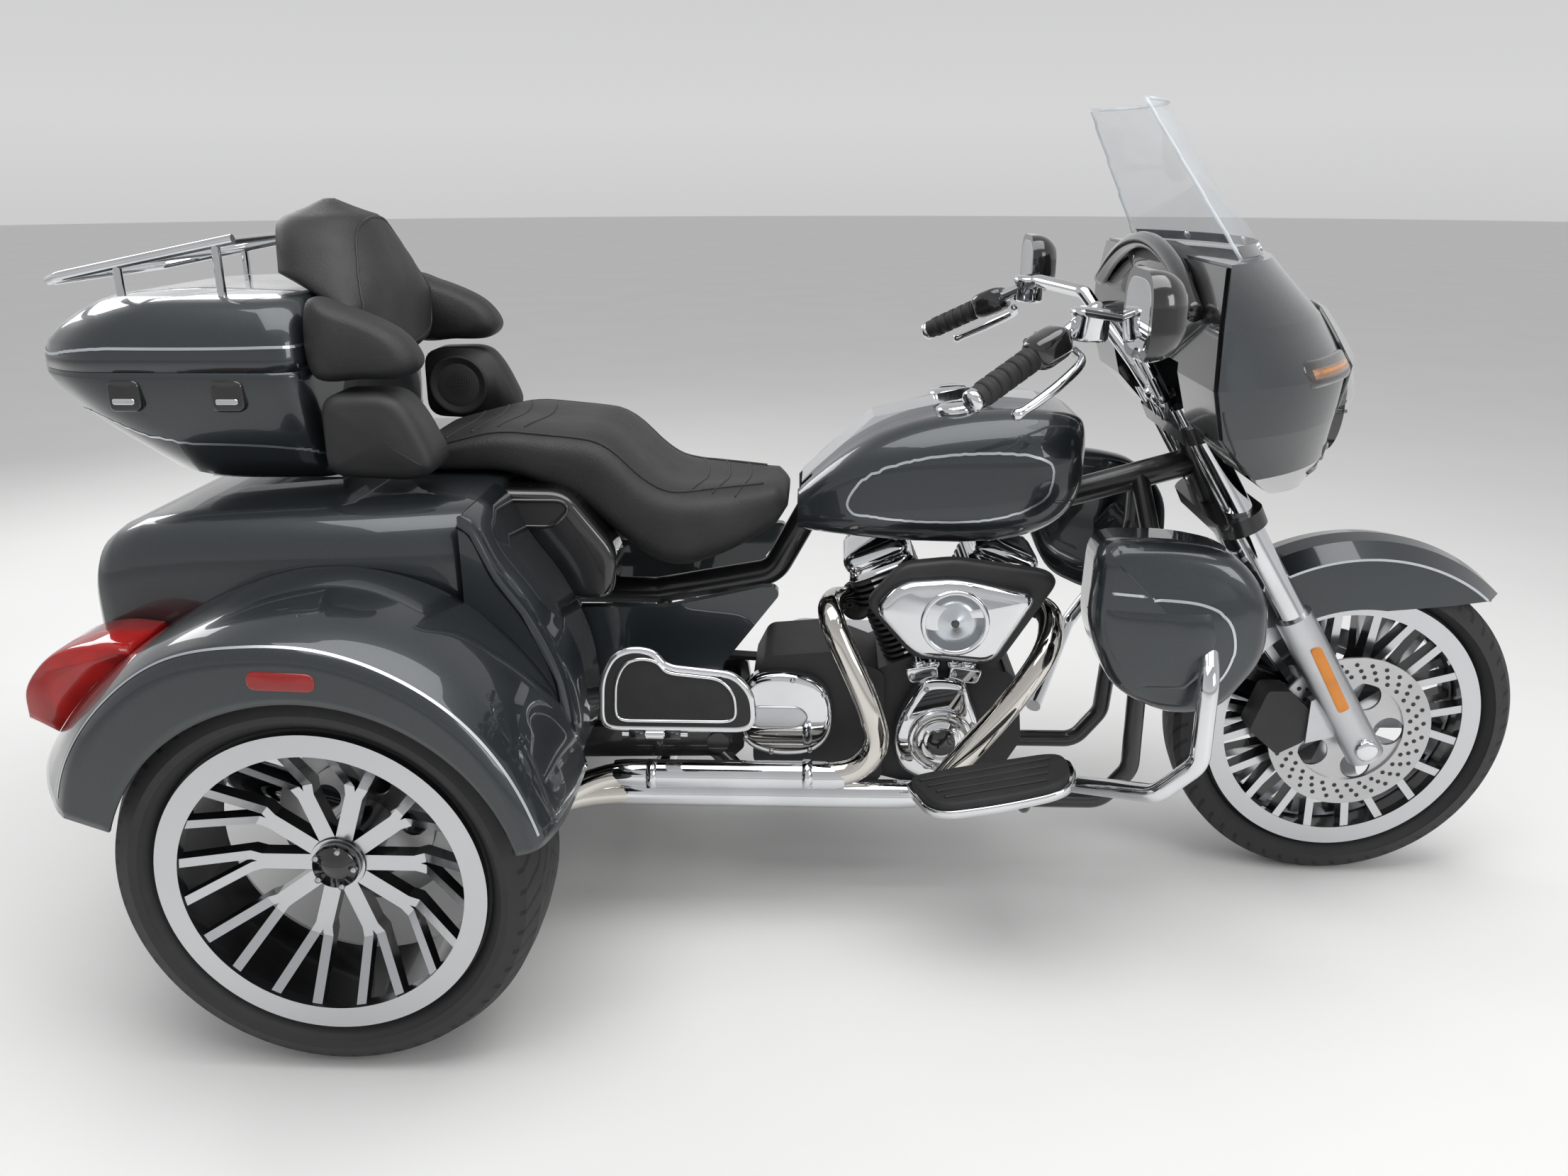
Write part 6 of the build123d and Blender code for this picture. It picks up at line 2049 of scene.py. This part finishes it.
@dataclass
class Studio:
    """Pale floor, soft lamps and the camera at the photograph's angle."""

    eye: Point = (-0.0048, -2.1949, 1.3136)
    yaw: float = -0.0349353
    pitch: float = 0.3281408
    roll: float = -0.0022943
    lens: float = 1714.90632 / 2212 * 36
    floor_colour: Colour = (0.86, 0.86, 0.85)

    def camera(self) -> None:
        """Places the camera: turned about Z by the yaw, then down by the pitch, then by the roll."""
        cy, sy = math.cos(self.yaw), math.sin(self.yaw)
        cp, sp = math.cos(self.pitch), math.sin(self.pitch)
        cr, sr = math.cos(self.roll), math.sin(self.roll)
        ahead, right, up = np.array([sy, cy, 0.0]), np.array([cy, -sy, 0.0]), np.array([0.0, 0.0, 1.0])
        look, top = ahead * cp - up * sp, up * cp + ahead * sp
        x_axis, y_axis = right * cr + top * sr, top * cr - right * sr
        data = bpy.data.cameras.new("camera")
        data.lens, data.sensor_width, data.sensor_fit = self.lens, 36.0, "HORIZONTAL"
        data.clip_end = 100
        camera = bpy.data.objects.new("camera", data)
        axes = np.eye(4)
        axes[:3, 0], axes[:3, 1], axes[:3, 2], axes[:3, 3] = x_axis, y_axis, -look, self.eye
        camera.matrix_world = Matrix(axes.tolist())
        bpy.context.collection.objects.link(camera)
        bpy.context.scene.camera = camera

    def floor(self) -> None:
        """Lays a round pale floor, rings of a disc of 40 m."""
        radii = np.array([0.001, 2.0, 6.0, 15.0, 40.0])
        turn = full_turn(64)
        points = np.stack([np.outer(radii, np.cos(turn)), np.outer(radii, np.sin(turn)),
                           np.zeros((5, 64))], axis=-1).reshape(-1, 3)
        faces = [*grid_faces(5, 64, wrap_columns=True), list(range(63, -1, -1))]
        data = bpy.data.meshes.new("floor")
        data.from_pydata(points.tolist(), [], [list(map(int, f)) for f in faces])
        floor = bpy.data.objects.new("floor", data)
        bpy.context.collection.objects.link(floor)
        n = Nodes("floor")
        n.link(n.ramp(n.noise(1.5, 4), [(0.3, tuple(0.97 * c for c in self.floor_colour)),
                                        (0.7, self.floor_colour)]), n.shader.inputs["Base Color"])
        n.set(Roughness=0.55, Specular_IOR_Level=0.3)
        floor.data.materials.append(n.material)

    def world(self) -> None:
        """Lights the room: pale at the horizon and greyer overhead, by the height of the direction."""
        world = bpy.data.worlds.new("studio")
        bpy.context.scene.world = world
        world.use_nodes = True
        tree = world.node_tree
        coords = tree.nodes.new("ShaderNodeTexCoord")
        split = tree.nodes.new("ShaderNodeSeparateXYZ")
        ramp = tree.nodes.new("ShaderNodeValToRGB")
        stops = [(0.0, 0.30), (0.42, 0.60), (0.52, 0.84), (0.62, 0.72), (1.0, 0.56)]
        half = tree.nodes.new("ShaderNodeMapRange")
        half.inputs["From Min"].default_value = -1.0
        while len(ramp.color_ramp.elements) < len(stops):
            ramp.color_ramp.elements.new(0.5)
        for element, (place, grey) in zip(ramp.color_ramp.elements, stops):
            element.position, element.color = place, (grey, grey, grey * 1.01, 1)
        tree.links.new(coords.outputs["Generated"], split.inputs["Vector"])
        tree.links.new(split.outputs["Z"], half.inputs["Value"])
        tree.links.new(half.outputs["Result"], ramp.inputs["Fac"])
        tree.links.new(ramp.outputs["Color"], tree.nodes["Background"].inputs["Color"])
        tree.nodes["Background"].inputs["Strength"].default_value = 0.8

    def lamp(self, name: str, place: Point, target: Point, size: tuple[float, float], power: float) -> None:
        """Hangs one soft rectangular lamp.

        Args:
            name: the lamp's name.
            place: where it hangs.
            target: the point it faces.
            size: its width and height.
            power: watts.
        """
        data = bpy.data.lights.new(name, "AREA")
        data.shape, data.size, data.size_y, data.energy = "RECTANGLE", size[0], size[1], power
        lamp = bpy.data.objects.new(name, data)
        lamp.location = place
        lamp.rotation_mode = "QUATERNION"
        lamp.rotation_quaternion = (Vector(target) - Vector(place)).to_track_quat("-Z", "Y")
        bpy.context.collection.objects.link(lamp)

    def build(self) -> None:
        """Makes the whole studio."""
        self.camera()
        self.floor()
        self.world()
        self.lamp("overhead", (0.2, -0.6, 3.6), (0, 0, 0.5), (4.2, 2.4), 95)
        self.lamp("front", (3.2, -2.6, 2.2), (0.5, 0, 0.6), (1.6, 1.8), 40)
        self.lamp("rear", (-3.0, 2.4, 2.6), (-0.3, 0, 0.6), (2.2, 1.4), 45)
        bpy.context.scene.view_settings.view_transform = "Standard"


def dress_nodes(frame: dict) -> None:
    """Gives every CAD node the finish of its material slot.
    """
    slots = {row["node"]: row["material_slot"] for row in frame["record"]["subparts"]}
    for name, node in frame["nodes"].items():
        SHOP.dress(node, NODE_OVERRIDES.get(name, NODE_FINISHES[slots[name]]))
        log.info("finish on %s", name)


def main() -> None:
    """Builds the scene, one sub-assembly after another."""
    logging.basicConfig(level=logging.INFO, format="%(message)s")
    for item in list(bpy.data.objects):
        bpy.data.objects.remove(item)
    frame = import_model()
    Studio().build()
    dress_nodes(frame)
    for assembly in (Wheels(), RearBody(), Exhaust(), Engine(), Boards(), Case(), Trunk(), Pinstripes(),
                     Seat(), Backrest(), FairingTrim(), Controls(), Luggage(), FrontTrim()):
        assembly.build()
        log.info("built %s", type(assembly).__name__)


if __name__ == "__main__":
    main()
